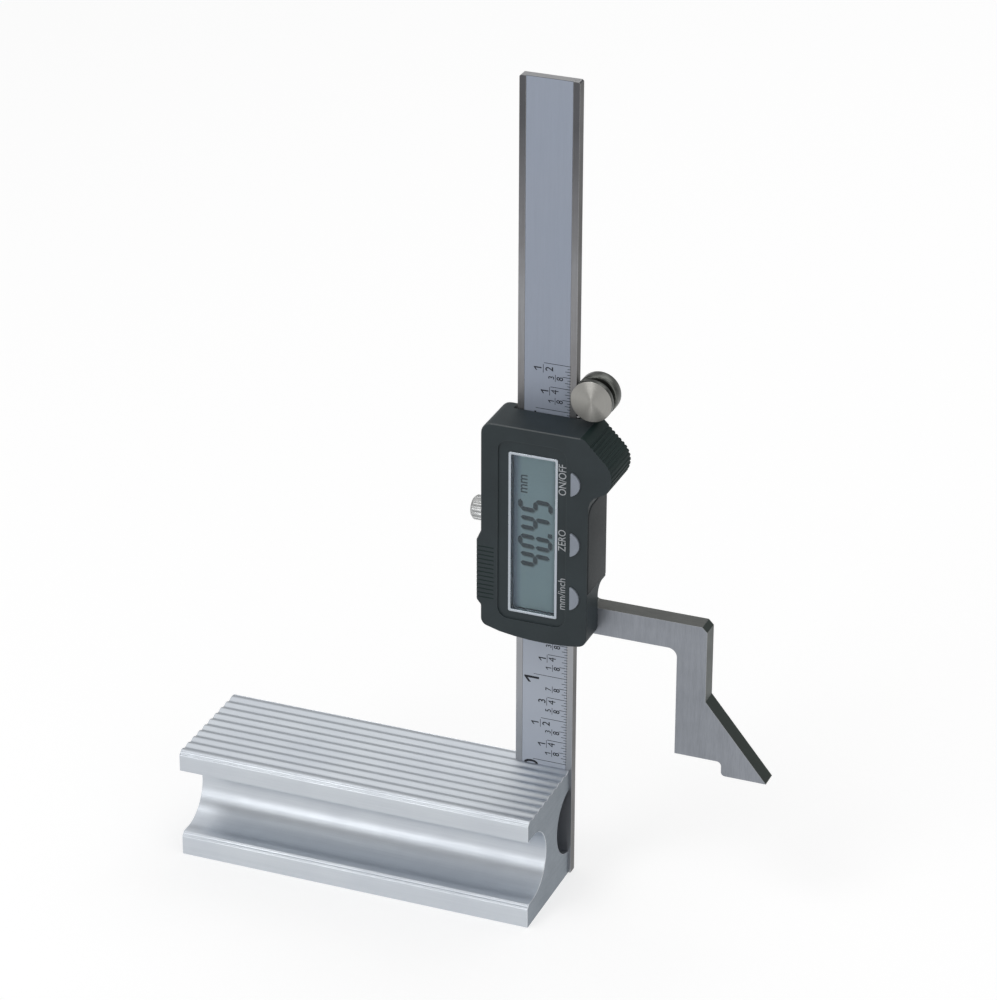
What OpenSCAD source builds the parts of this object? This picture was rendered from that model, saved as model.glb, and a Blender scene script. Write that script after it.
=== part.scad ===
// Digital height gauge: a ribbed aluminium base, an upright steel beam with an inch scale,
// and a slider with a display, a thumb roller, a lock screw and a measuring arm.
// Millimetres. Origin: centre of the base's underside. +X towards the arm, +Y to the back.

/* [Base block] */
// Length of the base block along X
base_l = 99; // [90:1:130]
// Depth of the base block from front to back
base_d = 34.2; // [32:0.1:40]
// Height of the base block
base_h = 31.3; // [30:0.1:38]
// Radius of the finger groove in each long side
finger_r = 9.4; // [8:0.05:9.5]
// Height of the middle of the finger grooves
finger_z = 16; // [15:0.1:17]
// Depth of each finger groove from the side face
finger_depth = 13.15; // [10:0.05:14]
// Number of ribs on the top face
rib_count = 10; // [6:1:10]
// Distance from rib to rib
rib_pitch = 3.4; // [3:0.05:3.4]
// Radius of the hollow between two ribs
rib_hollow_r = 2.3; // [2:0.05:3]
// Depth of the hollow between two ribs
rib_depth = 0.45; // [0.3:0.05:0.6]
// Chamfer along the upper front edge and along the lower lips
base_chamfer = 1.3; // [0.8:0.1:1.4]
// Chamfer along the upper back edge
back_chamfer = 0.4; // [0.2:0.1:1]
// Radius of the fine groove along the wide chamfers
fine_groove_r = 0.13; // [0.05:0.01:0.2]

/* [Beam] */
// Width of the beam
beam_w = 15.8; // [15:0.1:18]
// Thickness of the beam
beam_t = 2.7; // [2.7:0.1:3.4]
// Height of the beam's top above the table
beam_top = 222.5; // [217:0.5:260]
// How far the beam stands out past the right end of the base
beam_overhang = 0.7; // [0:0.1:2]
// Depth of the notch in the base's back that seats the beam
beam_notch = 4.6; // [4.4:0.1:5]
// Gap between the beam's foot and the table
beam_foot_gap = 0.2; // [0.1:0.1:1]
// Width of the printed scale strip
strip_w = 12.3; // [10:0.1:13]
// Thickness of the scale strip, let into the beam's face
strip_t = 0.25; // [0.2:0.05:0.5]
// Distance between the two columns of beam screws
beam_screw_pitch = 7; // [5:0.5:9]
// Radius of the beam screws' threads
beam_screw_r = 1.25; // [1:0.05:1.3]
// Length of the beam screws' threads in the base
beam_screw_grip = 4.5; // [3:0.5:6]

/* [Travel] */
// Height of the measuring face above the table
reading = 40.45; // [5:0.05:110]
// Distance from the beam's top to the middle of the stop screw
stop_drop = 13.75; // [8:0.05:16]

/* [Measuring arm] */
// Distance from the beam's edge to the arm's outer edge
arm_reach = 37.1; // [32:0.1:42]
// Width of the arm's upright part
arm_w = 8; // [6:0.1:10]
// Height of the arm's level part
arm_h = 7.6; // [6.5:0.1:8]
// Height of the arm's level part above the measuring face
arm_rise = 34.3; // [33.5:0.1:34.6]
// Thickness of the arm
arm_t = 5.1; // [4:0.1:5.4]
// How far the blade's tip stands out past the arm's outer edge
tip_reach = 16.9; // [12:0.1:20]
// Length of the measuring face
face_l = 12.2; // [8:0.1:14]
// Height of the ledge behind the measuring face
ledge_h = 3.95; // [2:0.05:6]
// Height above the measuring face at which the blade's slant starts
slant_top = 20.65; // [14:0.1:26]
// Radius of the arm's inner corner
arm_fillet = 2.4; // [1:0.1:4]
// Chamfer of the arm's outer corner
arm_chamfer = 1.4; // [0.6:0.1:2.5]

/* [Slider frame] */
// Distance from the beam's face to the front of the frame
frame_lead = 1.2; // [1:0.1:1.4]
// Distance from the beam's face to the front of the arm
arm_lead = 2.6; // [2.5:0.1:2.8]
// Width of the right rail
rail_w = 4.16; // [4:0.05:4.3]
// Height of the cross webs
web_h = 6; // [4:0.1:6.5]
// Thickness of the back plate
plate_t = 1.2; // [1:0.1:1.5]
// Distance between the two gib screws
gib_pitch = 17.4; // [14:0.1:24]
// Thickness of the gib strip beside the beam
gib_t = 0.55; // [0.4:0.05:0.7]
// Thickness of the wear strip beside the beam
wear_t = 0.8; // [0.6:0.05:0.9]

/* [Housing] */
// Width of the housing without its grips
housing_w = 28.9; // [28.4:0.1:30]
// Height of the housing
housing_h = 59.5; // [59:0.1:60]
// Depth of the housing from front to back
housing_d = 13.7; // [13.4:0.1:13.7]
// Wall thickness at the sides, top and bottom
wall = 1.2; // [1:0.05:1.3]
// Thickness of the front wall
front_wall = 1.3; // [1.1:0.05:1.4]
// Distance from the beam's face to the housing's front
housing_lead = 11; // [10.9:0.05:11.1]
// How far the housing stands out to the left of the beam
housing_left = 5.6; // [5.2:0.05:5.8]
// Height of the housing's lowest edge above the measuring face
housing_rise = 33.45; // [33:0.05:33.8]
// Radius of the housing's corners
corner_r = 3; // [2:0.1:4]
// Radius of the housing's curved bottom edge
belly_r = 66; // [60:1:120]
// Radius of the rounding along the front edges
edge_r = 0.35; // [0.2:0.05:0.9]
// Radius of the thumb grip's tip
grip_r = 6.2; // [5.5:0.1:8]
// How far the thumb grip stands out
grip_out = 6.3; // [5:0.1:7]
// Distance from the middle of the thumb grip's tip to the housing's top
grip_drop = 10.2; // [9.5:0.1:12]
// How far the finger rest on the left stands out
rest_out = 1.2; // [0.8:0.1:2.5]
// Height of the finger rest
rest_h = 21.2; // [16:0.1:24]
// Distance from the housing's lowest edge to the finger rest
rest_low = 7.8; // [5:0.1:12]
// Distance between the ribs of the grips
grip_pitch = 1.15; // [0.9:0.05:1.6]

/* [Display and buttons] */
// Width of the display's trim frame
trim_w = 13.3; // [12.5:0.05:13.6]
// Distance from the housing's lowest edge to the trim frame
trim_low = 7.5; // [6.5:0.1:9]
// Distance from the trim frame to the housing's top
trim_high = 7; // [6:0.1:9]
// Width of the trim frame's rim
trim_rim = 0.7; // [0.5:0.05:1]
// Thickness of the clear window
lens_t = 0.8; // [0.5:0.05:0.9]
// Thickness of the display glass
lcd_t = 0.6; // [0.5:0.05:0.65]
// Thickness of the spacer frame between window and display
spacer_t = 0.6; // [0.3:0.05:0.7]
// Height of a button
button_h = 6.5; // [5:0.1:7]
// Width of a button
button_w = 2.5; // [2:0.05:2.7]
// How far a button stands out of the housing
button_out = 0.5; // [0.2:0.05:1]
// Travel of a button
button_travel = 0.5; // [0.3:0.05:0.6]
// Distance from the lowest to the middle button
low_pitch = 15.2; // [15.1:0.05:16]
// Distance from the lowest button's middle to the housing's lowest edge
button_low = 14.4; // [13:0.1:16]
// Distance from the top button's middle to the housing's top
button_high = 13.05; // [11:0.05:14]
// Height of the battery lid
lid_h = 24.6; // [22:0.1:25]
// How far the battery lid stands out of the side
lid_out = 0.2; // [0:0.05:0.3]
// Thickness of the circuit board
board_t = 1.5; // [1.2:0.1:1.6]
// Diameter of the button cell
cell_d = 11.6; // [11.2:0.1:11.8]
// Thickness of the button cell
cell_t = 5.4; // [5.2:0.05:5.4]

/* [Roller and lock] */
// Radius of the thumb roller
roller_r = 5.5; // [4.5:0.05:6]
// Length of the thumb roller
roller_l = 7.2; // [5:0.1:7.4]
// Radius of the neck behind the roller's front disc
neck_r = 3.6; // [3:0.1:4.5]
// Radius of the roller's axle
axle_r = 1.5; // [1:0.05:1.8]
// Height of the roller's axle above the housing's top
roller_rise = 7.3; // [6.8:0.05:9]
// Radius of the lock knob
knob_r = 3.25; // [2.8:0.05:4.5]
// Length of the lock knob
knob_l = 5.1; // [4:0.1:8]
// Number of flutes round the lock knob
knob_flutes = 14; // [12:1:24]
// Radius of the lock screw's thread
lock_r = 1.45; // [1.2:0.05:1.5]

/* [Clearances] */
// Gap between sliding faces
slide_gap = 0.04; // [0.02:0.01:0.08]
// Gap round pieces that drop into a pocket
drop_gap = 0.05; // [0.03:0.01:0.1]
// Gap between a shaft and its bore
run_gap = 0.04; // [0.02:0.01:0.08]
// Gap between a screw and its tapped hole
thread_gap = 0.02; // [0.01:0.01:0.05]

/* [Hidden] */
$fn = 64;
$in = 0;                      // how far an outline of the housing shrinks
over = 1;                     // overshoot of a cut past the face it leaves

// places of the beam
beam_x1 = base_l / 2 + beam_overhang;
beam_x0 = beam_x1 - beam_w;
beam_x = (beam_x0 + beam_x1) / 2;
beam_y0 = base_d / 2 - beam_notch;
beam_y1 = beam_y0 + beam_t;
strip_z0 = base_h + 0.1;
lip_z = finger_z - finger_r;
upper_lip_z = finger_z + finger_r;
beam_screw_zs = [lip_z / 2, (upper_lip_z + base_h - rib_depth) / 2];

// places on the slider, with heights above the measuring face
arm_x1 = beam_x1 + arm_reach;
arm_x0 = arm_x1 - arm_w;
tip_x = arm_x1 + tip_reach;
face_x0 = tip_x - face_l;
arm_top = arm_rise + arm_h;
arm_y0 = beam_y0 - arm_lead;
housing_x0 = beam_x0 - housing_left;
housing_x1 = housing_x0 + housing_w;
housing_y0 = beam_y0 - housing_lead;
housing_y1 = housing_y0 + housing_d;
housing_z0 = housing_rise;
housing_z1 = housing_z0 + housing_h;
inner_y0 = housing_y0 + front_wall;
floor_t = 3.2;
belly_x = housing_x0 + 0.58 * housing_w;
frame_y0 = beam_y0 - frame_lead;
frame_y1 = beam_y1 + slide_gap;
frame_x0 = housing_x0 + wall + 2 * drop_gap;
gib_x1 = beam_x0 - slide_gap;
gib_x0 = gib_x1 - gib_t;
rail_l_x1 = gib_x0 - slide_gap;
wear_x0 = beam_x1 + slide_gap;
wear_x1 = wear_x0 + wear_t;
frame_x1 = wear_x1 + rail_w;
frame_z0 = arm_rise;
frame_z1 = housing_z1 - wall - 2 * drop_gap;
web_y1 = beam_y0 - 2 * slide_gap;
wear_z1 = housing_z1 + 0.3;
plate_y1 = frame_y1 + plate_t;
stop_head_r = 2;
stop_head_h = 1.1;
stop_z = beam_top - stop_drop;
screw_r = 0.8;
head_r = 1.35;
head_h = 0.9;
sink_r = 1.6;
sink_h = 0.8;
plate_grip = 3;
slot_w = 0.3;
slot_d = 0.45;
left_screw_x = (frame_x0 + rail_l_x1) / 2;
right_screw_x = (wear_x1 + frame_x1) / 2;
end_inset = 3.7;
mid_inset = 11.7;
plate_left_zs = [frame_z0 + end_inset, frame_z1 - end_inset];
plate_right_zs = [frame_z0 + mid_inset, frame_z1 - mid_inset];
case_left_zs = plate_right_zs;
case_right_zs = plate_left_zs;
side_y = (beam_y0 + beam_y1) / 2 - 0.55;
lock_z = housing_z0 + housing_h / 2 - 0.5;
gib_screw_zs = [lock_z - gib_pitch / 2, lock_z + gib_pitch / 2];

// places in the housing
board_y1 = frame_y0;
board_y0 = board_y1 - board_t;
board_z0 = arm_top + 0.5;
board_z1 = frame_z1 - 0.2;
trim_t = 0.4;
panel_y = housing_y0 + 0.4;
trim_y1 = housing_y0 + 0.15 + trim_t;
lcd_y0 = inner_y0 + spacer_t;
trim_x0 = housing_x0 + 7.45;
trim_z0 = housing_z0 + trim_low;
trim_h = housing_h - trim_low - trim_high;
panel_x0 = housing_x0 + 4.65;
panel_x1 = trim_x0 + trim_w + 1.95;
panel_z0 = trim_z0 - 2.2;
panel_z1 = trim_z0 + trim_h + 3.1;
button_x = housing_x1 - 4.55;
button_z = housing_z0 + button_low;
button_zs = [button_z, button_z + low_pitch, housing_z1 - button_high];
button_r = (pow(button_h / 2, 2) + pow(button_w, 2)) / (2 * button_w);
flange_y0 = inner_y0 + 0.1;
flange_y1 = flange_y0 + 0.7;
switch_y0 = board_y0 - 3.5;
cell_x = housing_x1 - wall - 1 - cell_d / 2;
cell_z = (button_zs[0] + button_zs[1]) / 2;
cell_y1 = board_y0 - 0.15;
cell_y0 = cell_y1 - cell_t;
lid_z0 = arm_top + 7.4;
lid_z1 = lid_z0 + lid_h;
lid_y0 = housing_y0 + 0.6;
notch_z = arm_top + 6.8;
notch_y = arm_y0 - 0.12;
notch_r = 3;
grip_x = housing_x1 + grip_out - grip_r;
grip_z = housing_z1 - grip_drop;
rest_z0 = housing_z0 + rest_low;
rest_z1 = rest_z0 + rest_h;

// places of the roller and the lock
roller_x = beam_x1 + roller_r + 0.1;
roller_z = housing_z1 + roller_rise;
roller_y1 = frame_y1 - 0.12;
roller_y0 = roller_y1 - roller_l;
knob_x1 = housing_x0 - 1.5;
knob_x0 = knob_x1 - knob_l;

// Extrudes a profile drawn in Y and Z from x0 to x1
module along_x(x0, x1) {
    translate([x0, 0, 0])
        rotate([90, 0, 90])
            linear_extrude(x1 - x0)
                children();
}

// Extrudes an outline drawn in X and Z from y0 to y1
module along_y(y0, y1) {
    translate([0, y1, 0])
        rotate([90, 0, 0])
            linear_extrude(y1 - y0)
                children();
}

// A rod along Y
module rod_y(x, z, r, y0, y1) {
    translate([x, y1, z])
        rotate([90, 0, 0])
            cylinder(r = r, h = y1 - y0);
}

// A cone along Y, with radius r0 at y0 and r1 at y1
module cone_y(x, z, r0, r1, y0, y1) {
    translate([x, y0, z])
        rotate([-90, 0, 0])
            cylinder(r1 = r0, r2 = r1, h = y1 - y0);
}

// A rod along X
module rod_x(y, z, r, x0, x1) {
    translate([x0, y, z])
        rotate([0, 90, 0])
            cylinder(r = r, h = x1 - x0);
}

// A box between two corners
module box(a, b) {
    translate(a)
        cube(b - a);
}

// Lifts a piece of the slider to the height that the gauge reads
module on_slider() {
    translate([0, 0, reading])
        children();
}

// Cuts the upper front corner of a profile at a 45 degree chamfer
module corner_cut(y, z, c) {
    polygon([[y - over, z - c - over], [y + c + over, z + over], [y - over, z + over]]);
}

// A rectangle with round corners, made of exact shapes
module round_rect(x0, z0, x1, z1, r) {
    translate([x0 + r, z0])
        square([x1 - x0 - 2 * r, z1 - z0]);
    translate([x0, z0 + r])
        square([x1 - x0, z1 - z0 - 2 * r]);
    for (x = [x0 + r, x1 - r], z = [z0 + r, z1 - r])
        translate([x, z])
            circle(r);
}

// The corner filler of a fillet; sx and sz point into the open quarter
module fillet(x, z, r, sx, sz) {
    translate([x, z])
        mirror([sx < 0 ? 1 : 0, 0])
            mirror([0, sz < 0 ? 1 : 0])
                difference() {
                    translate([-0.01, -0.01])
                        square(r + 0.01);
                    translate([r, r])
                        circle(r);
                }
}

// The wide chamfer of the base's front edge at the height z, with the fine groove along its middle
module grooved_corner(z) {
    corner_cut(-base_d / 2, z, base_chamfer);
    translate([(base_chamfer - base_d) / 2, z - base_chamfer / 2])
        circle(fine_groove_r);
}

// Half of what is cut from the base's profile
module base_side_cut() {
    translate([finger_depth - finger_r - base_d / 2, finger_z])
        circle(finger_r, $fn = 128);
    translate([-base_d / 2 - over, lip_z])
        square([finger_depth - finger_r + over, 2 * finger_r]);
    grooved_corner(lip_z);
}

module base_profile() {
    difference() {
        translate([-base_d / 2, 0])
            square([base_d, base_h]);
        base_side_cut();
        grooved_corner(base_h);
        mirror([1, 0]) {
            base_side_cut();
            corner_cut(-base_d / 2, base_h, back_chamfer);
        }
        for (i = [0:rib_count - 2])
            translate([(i - (rib_count - 2) / 2) * rib_pitch, base_h - rib_depth + rib_hollow_r])
                circle(rib_hollow_r, $fn = 48);
    }
}

// Runs its children at each of the four screws that hold the beam
module at_beam_screws() {
    for (x = [beam_x - beam_screw_pitch / 2, beam_x + beam_screw_pitch / 2], z = beam_screw_zs)
        translate([x, 0, z])
            children();
}

module base_block() {
    color("#c6cacf")
        difference() {
            along_x(-base_l / 2, base_l / 2)
                base_profile();
            box([beam_x0 - 0.1, beam_y0, -over], [base_l / 2 + over, base_d / 2 + over, base_h + over]);
            at_beam_screws()
                rod_y(0, 0, beam_screw_r + thread_gap, beam_y0 - beam_screw_grip - 0.5, beam_y0 + over);
        }
}

module beam() {
    c = 0.4;
    color("#8d9093")
        difference() {
            along_y(beam_y0, beam_y1)
                polygon([[beam_x0, beam_foot_gap], [beam_x1, beam_foot_gap], [beam_x1, beam_top - c],
                    [beam_x1 - c, beam_top], [beam_x0 + c, beam_top], [beam_x0, beam_top - c]]);
            box([beam_x - strip_w / 2, beam_y0 - over, strip_z0],
                [beam_x + strip_w / 2, beam_y0 + strip_t, beam_top + over]);
            at_beam_screws() {
                rod_y(0, 0, beam_screw_r + 0.1, beam_y0 - over, beam_y1 + over);
                cone_y(0, 0, beam_screw_r, 2 * beam_screw_r, beam_y1 - beam_screw_r, beam_y1);
                rod_y(0, 0, 2 * beam_screw_r, beam_y1, beam_y1 + over);
            }
            rod_y(beam_x, stop_z, 1 + thread_gap, beam_y0 + strip_t + 0.6, beam_y1 + over);
        }
}

module scale_strip() {
    color("#aeb6c2")
        box([beam_x - strip_w / 2 + drop_gap, beam_y0, strip_z0],
            [beam_x + strip_w / 2 - drop_gap, beam_y0 + strip_t, beam_top - 0.1]);
}

module beam_screws() {
    color("#9a9c9e")
        at_beam_screws()
            difference() {
                union() {
                    rod_y(0, 0, beam_screw_r, beam_y0 - beam_screw_grip, beam_y1 - beam_screw_r);
                    cone_y(0, 0, beam_screw_r - 0.05, 2 * beam_screw_r - 0.1,
                        beam_y1 - beam_screw_r, beam_y1 - 0.05);
                }
                box([-2 * beam_screw_r, beam_y1 - 0.6, -0.25], [2 * beam_screw_r, beam_y1 + over, 0.25]);
            }
}

module end_stop_screw() {
    color("#b4b6b8")
        difference() {
            union() {
                rod_y(beam_x, stop_z, 1, beam_y0 + strip_t + 0.8, beam_y1);
                rod_y(beam_x, stop_z, stop_head_r, beam_y1, beam_y1 + stop_head_h);
            }
            box([beam_x - 3, beam_y1 + stop_head_h - 0.5, stop_z - 0.25],
                [beam_x + 3, beam_y1 + stop_head_h + over, stop_z + 0.25]);
        }
}

// The arm and its blade, seen from the front
module arm_outline() {
    difference() {
        union() {
            translate([wear_x1, arm_rise])
                square([arm_x1 - wear_x1, arm_h]);
            polygon([[arm_x0, arm_top], [arm_x1, arm_top], [arm_x1, slant_top], [tip_x, 0],
                [face_x0, 0], [face_x0, ledge_h], [arm_x0, ledge_h]]);
            fillet(arm_x0, arm_rise, arm_fillet, -1, -1);
            fillet(frame_x1, arm_top, 1.6, 1, 1);
            fillet(face_x0, ledge_h, 1.2, -1, -1);
        }
        translate([arm_x1, arm_top])
            rotate(45)
                square([arm_chamfer * sqrt(2), 4 * arm_chamfer], center = true);
        difference() {
            translate([face_x0 - over, -over])
                square([1.1 + over, 1.1 + over]);
            translate([face_x0 + 1.1, 1.1])
                circle(1.1);
        }
    }
}

module slider_frame() {
    color("#9b9da1")
        on_slider()
            difference() {
                union() {
                    box([frame_x0, frame_y0, frame_z0], [rail_l_x1, frame_y1, frame_z1]);
                    box([wear_x1, frame_y0, frame_z0], [frame_x1, frame_y1, frame_z1]);
                    box([frame_x0, frame_y0, frame_z0], [frame_x1, web_y1, frame_z0 + web_h]);
                    box([frame_x0, frame_y0, frame_z1 - web_h], [frame_x1, web_y1, frame_z1]);
                    along_y(arm_y0, arm_y0 + arm_t)
                        arm_outline();
                }
                for (z = plate_left_zs)
                    rod_y(left_screw_x, z, screw_r + thread_gap, frame_y1 - plate_grip - 0.2, frame_y1 + over);
                for (z = plate_right_zs)
                    rod_y(right_screw_x, z, screw_r + thread_gap, frame_y1 - plate_grip - 0.2, frame_y1 + over);
                for (z = case_left_zs)
                    case_screw_cut(left_screw_x, z);
                for (z = case_right_zs)
                    case_screw_cut(right_screw_x, z);
                for (z = gib_screw_zs)
                    rod_x(side_y, z, 1 + thread_gap, frame_x0 - over, rail_l_x1 + over);
                rod_x(side_y, lock_z, lock_r + thread_gap, frame_x0 - over, rail_l_x1 + over);
            }
}

// Clearance hole and sunk head seat of a screw that holds the housing
module case_screw_cut(x, z) {
    rod_y(x, z, screw_r + 0.1, arm_y0 - over, frame_y1 + over);
    rod_y(x, z, head_r + 0.1, frame_y1 - head_h, frame_y1 + over);
}

// The plate behind the beam, with an ear that carries the roller's axle
module back_plate() {
    ear_r = 3;
    color("#a7a9ac")
        on_slider()
            difference() {
                along_y(frame_y1, plate_y1) {
                    round_rect(frame_x0, frame_z0, frame_x1, frame_z1, 1);
                    translate([roller_x, roller_z])
                        circle(ear_r);
                    polygon([[frame_x1 - 5.2, frame_z1 - 3], [frame_x1, frame_z1 - 3],
                        [roller_x + ear_r, roller_z], [roller_x - ear_r, roller_z]]);
                }
                rod_y(roller_x, roller_z, axle_r + 0.01, frame_y1 - over, plate_y1 + over);
                for (z = plate_left_zs)
                    plate_screw_cut(left_screw_x, z);
                for (z = plate_right_zs)
                    plate_screw_cut(right_screw_x, z);
            }
}

module plate_screw_cut(x, z) {
    rod_y(x, z, screw_r + 0.1, frame_y1 - over, plate_y1 + over);
    cone_y(x, z, screw_r + 0.05, sink_r, plate_y1 - sink_h, plate_y1);
    rod_y(x, z, sink_r, plate_y1, plate_y1 + over);
}

// A cross slot, r long from its middle, cut down to y
module cross_slot(x, z, r, y) {
    box([x - r, y, z - slot_w / 2], [x + r, y + over, z + slot_w / 2]);
    box([x - slot_w / 2, y, z - r], [x + slot_w / 2, y + over, z + r]);
}

// A countersunk screw that holds the back plate
module plate_screw(x, z) {
    difference() {
        union() {
            rod_y(x, z, screw_r, frame_y1 - plate_grip, plate_y1 - sink_h);
            cone_y(x, z, screw_r, sink_r - 0.1, plate_y1 - sink_h, plate_y1 - 0.05);
        }
        cross_slot(x, z, sink_r - 0.5, plate_y1 - slot_d);
    }
}

module back_plate_screws() {
    color("#b9bbbd")
        on_slider() {
            for (z = plate_left_zs)
                plate_screw(left_screw_x, z);
            for (z = plate_right_zs)
                plate_screw(right_screw_x, z);
        }
}

module gib_strip() {
    color("#c79a4b")
        on_slider()
            box([gib_x0, beam_y0 + 0.2, frame_z0 + 1.5], [gib_x1, beam_y1 - 0.2, frame_z1 - 1.5]);
}

module gib_screws() {
    color("#6b6d70")
        on_slider()
            for (z = gib_screw_zs)
                difference() {
                    rod_x(side_y, z, 1, frame_x0 + 0.3, gib_x0);
                    box([frame_x0, side_y - 0.2, z - 1.2], [frame_x0 + 0.8, side_y + 0.2, z + 1.2]);
                }
}

module wear_strip() {
    color("#d6d7d8")
        on_slider()
            box([wear_x0, beam_y0 + 0.2, frame_z0 + 1.5], [wear_x1, beam_y1 - 0.2, wear_z1]);
}

// The front shape of the housing, without its grips. $in is how far it shrinks.
module body_outline() {
    intersection() {
        round_rect(housing_x0 + $in, housing_z0 + $in, housing_x1 - $in, housing_z1 - $in, corner_r - $in);
        translate([belly_x, housing_z0 + belly_r])
            circle(belly_r - $in, $fn = 256);
    }
}

// The thumb grip: a round nose between two 45 degree flanks
module grip_outline() {
    r = grip_r - $in;
    d = r * sqrt(0.5);
    top = housing_z1 - $in;
    reach = grip_z + grip_x + r * sqrt(2) - top;
    translate([grip_x, grip_z])
        circle(r);
    polygon([[reach, top], [grip_x + d, grip_z + d], [grip_x + d, grip_z - d],
        [housing_x1 - over, grip_z + housing_x1 - over - grip_x - r * sqrt(2)],
        [housing_x1 - 8, grip_z], [housing_x1 - 8, top]]);
}

// The finger rest on the left
module rest_outline() {
    x = housing_x0 - rest_out + $in;
    z0 = rest_z0 + $in;
    z1 = rest_z1 - $in;
    polygon([[housing_x0 + over, z0], [housing_x0 + $in, z0], [x, z0 + 1.25 * rest_out],
        [x, z1 - 2.25 * rest_out], [housing_x0 + $in, z1], [housing_x0 + over, z1]]);
}

// A slice of the front rounding, t degrees round it, with the outline shrunk to suit
module front_slice(t) {
    y = housing_y0 + edge_r * (1 - sin(t));
    $in = edge_r * (1 - cos(t));
    along_y(y, y + 0.02)
        children();
}

// The front rounding of an outline, as slabs between slices at the angles ts
module front_rounding(ts) {
    for (i = [1:len(ts) - 1])
        hull() {
            front_slice(ts[i - 1])
                children();
            front_slice(ts[i])
                children();
        }
}

// The fine grooves round the thumb grip
module grip_grooves() {
    n = floor(grip_r * 3.14159 / 4 / grip_pitch);
    step = grip_pitch / grip_r * 57.2958;
    r = 0.32;
    for (i = [-n:n])
        rod_y(grip_x + (grip_r + 0.06) * cos(i * step), grip_z + (grip_r + 0.06) * sin(i * step),
            r, housing_y0 - over, housing_y1 + over, $fn = 16);
    d = grip_r * sqrt(0.5);
    for (i = [1:4], s = [-1, 1])
        rod_y(grip_x + d + 0.04 - i * grip_pitch * sqrt(0.5), grip_z + s * (d + 0.04 + i * grip_pitch * sqrt(0.5)),
            r, housing_y0 - over, housing_y1 + over, $fn = 16);
}

// The grooves across the finger rest, down its side and over its front
module rest_grooves() {
    x = housing_x0 - rest_out;
    r = 0.3;
    z0 = rest_z0 + 1.6 * rest_out;
    for (i = [0:floor((rest_h - 4.6 * rest_out) / grip_pitch)]) {
        z = z0 + i * grip_pitch;
        rod_y(x - 0.08, z, r, housing_y0 - over, housing_y1 + over, $fn = 16);
        rod_x(housing_y0 - 0.12, z, r, x - over, housing_x0 + 3.4, $fn = 16);
    }
}

// D shape of a button, its flat side to the left
module button_outline(z, in = 0) {
    intersection() {
        translate([button_x + button_w - button_r, z])
            circle(button_r - in);
        translate([button_x + in, z - button_h])
            square([button_h, 2 * button_h]);
    }
}

// A hollow screw boss behind the front wall
module boss(x, z, y1) {
    rod_y(x, z, 1.5, inner_y0 - 0.1, y1);
}

module front_housing() {
    color("#33393a")
        on_slider()
            difference() {
                union() {
                    difference() {
                        union() {
                            along_y(housing_y0 + edge_r, housing_y1) {
                                body_outline();
                                grip_outline();
                                rest_outline();
                            }
                            front_rounding([0, 30, 60, 90])
                                body_outline();
                            front_rounding([0, 45, 90])
                                grip_outline();
                            front_rounding([0, 45, 90])
                                rest_outline();
                        }
                        housing_hollow();
                        grip_grooves();
                        rest_grooves();
                    }
                    for (z = case_left_zs)
                        boss(left_screw_x, z, board_y0);
                    boss(right_screw_x, case_right_zs[0], arm_y0);
                    boss(right_screw_x, case_right_zs[1], board_y0);
                }
                for (z = case_left_zs)
                    rod_y(left_screw_x, z, screw_r + thread_gap, inner_y0 + 0.6, board_y0 + over);
                for (z = case_right_zs)
                    rod_y(right_screw_x, z, screw_r + thread_gap, inner_y0 + 0.6, arm_y0 + over);
                panel_cut();
                lid_cut();
                rod_x(side_y, lock_z, lock_r + 0.9, housing_x0 - rest_out - over, housing_x0 + wall + over);
            }
}

// The hollow of the housing, its beam slot and the opening for the arm
module housing_hollow() {
    box([housing_x0 + wall, inner_y0, housing_z0 + floor_t],
        [housing_x1 - wall, housing_y1 + over, housing_z1 - wall]);
    along_y(inner_y0 + 1.2, housing_y1 + over)
        translate([grip_x, grip_z])
            circle(grip_r - 1.6);
    box([housing_x0 + wall, notch_y, housing_z0 - over],
        [housing_x1 - wall, housing_y1 + over, housing_z0 + floor_t + over]);
    along_x(frame_x1 + drop_gap, housing_x1 + over)
        notch_outline();
    box([gib_x0 - 0.4, beam_y0 - 0.35, housing_z1 - wall - over],
        [wear_x1 + 0.3, housing_y1 + over, housing_z1 + over]);
}

// The recess in the housing's right side that clears the arm
module notch_outline() {
    difference() {
        translate([notch_y, housing_z0 - over])
            square([housing_d, notch_z - housing_z0 + over]);
        fillet(notch_y, notch_z, notch_r, 1, -1);
    }
}

// The display's trim frame, seen from the front
module trim_outline(in = 0) {
    round_rect(trim_x0 + in, trim_z0 + in, trim_x0 + trim_w - in, trim_z0 + trim_h - in, 0.5 - in / 4);
}

// The display opening, the shallow panel round it and the button holes
module panel_cut() {
    along_y(housing_y0 - over, panel_y)
        round_rect(panel_x0, panel_z0, panel_x1, panel_z1, corner_r);
    along_y(housing_y0 - over, trim_y1 + drop_gap)
        trim_outline(-drop_gap);
    along_y(housing_y0 - over, inner_y0 + over)
        trim_outline(trim_rim);
    along_y(housing_y0 - over, inner_y0 + over)
        for (z = button_zs)
            button_outline(z, -0.1);
}

// The lid's shape, seen from the side
module lid_outline(in = 0) {
    r = 2.5;
    difference() {
        translate([lid_y0 + in, lid_z0 + in])
            square([housing_y1 - lid_y0 - in, lid_z1 - lid_z0 - 2 * in]);
        difference() {
            translate([lid_y0 + in - over, lid_z1 - in - r])
                square(r + over);
            translate([lid_y0 + in + r, lid_z1 - in - r])
                circle(r);
        }
    }
}

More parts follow.
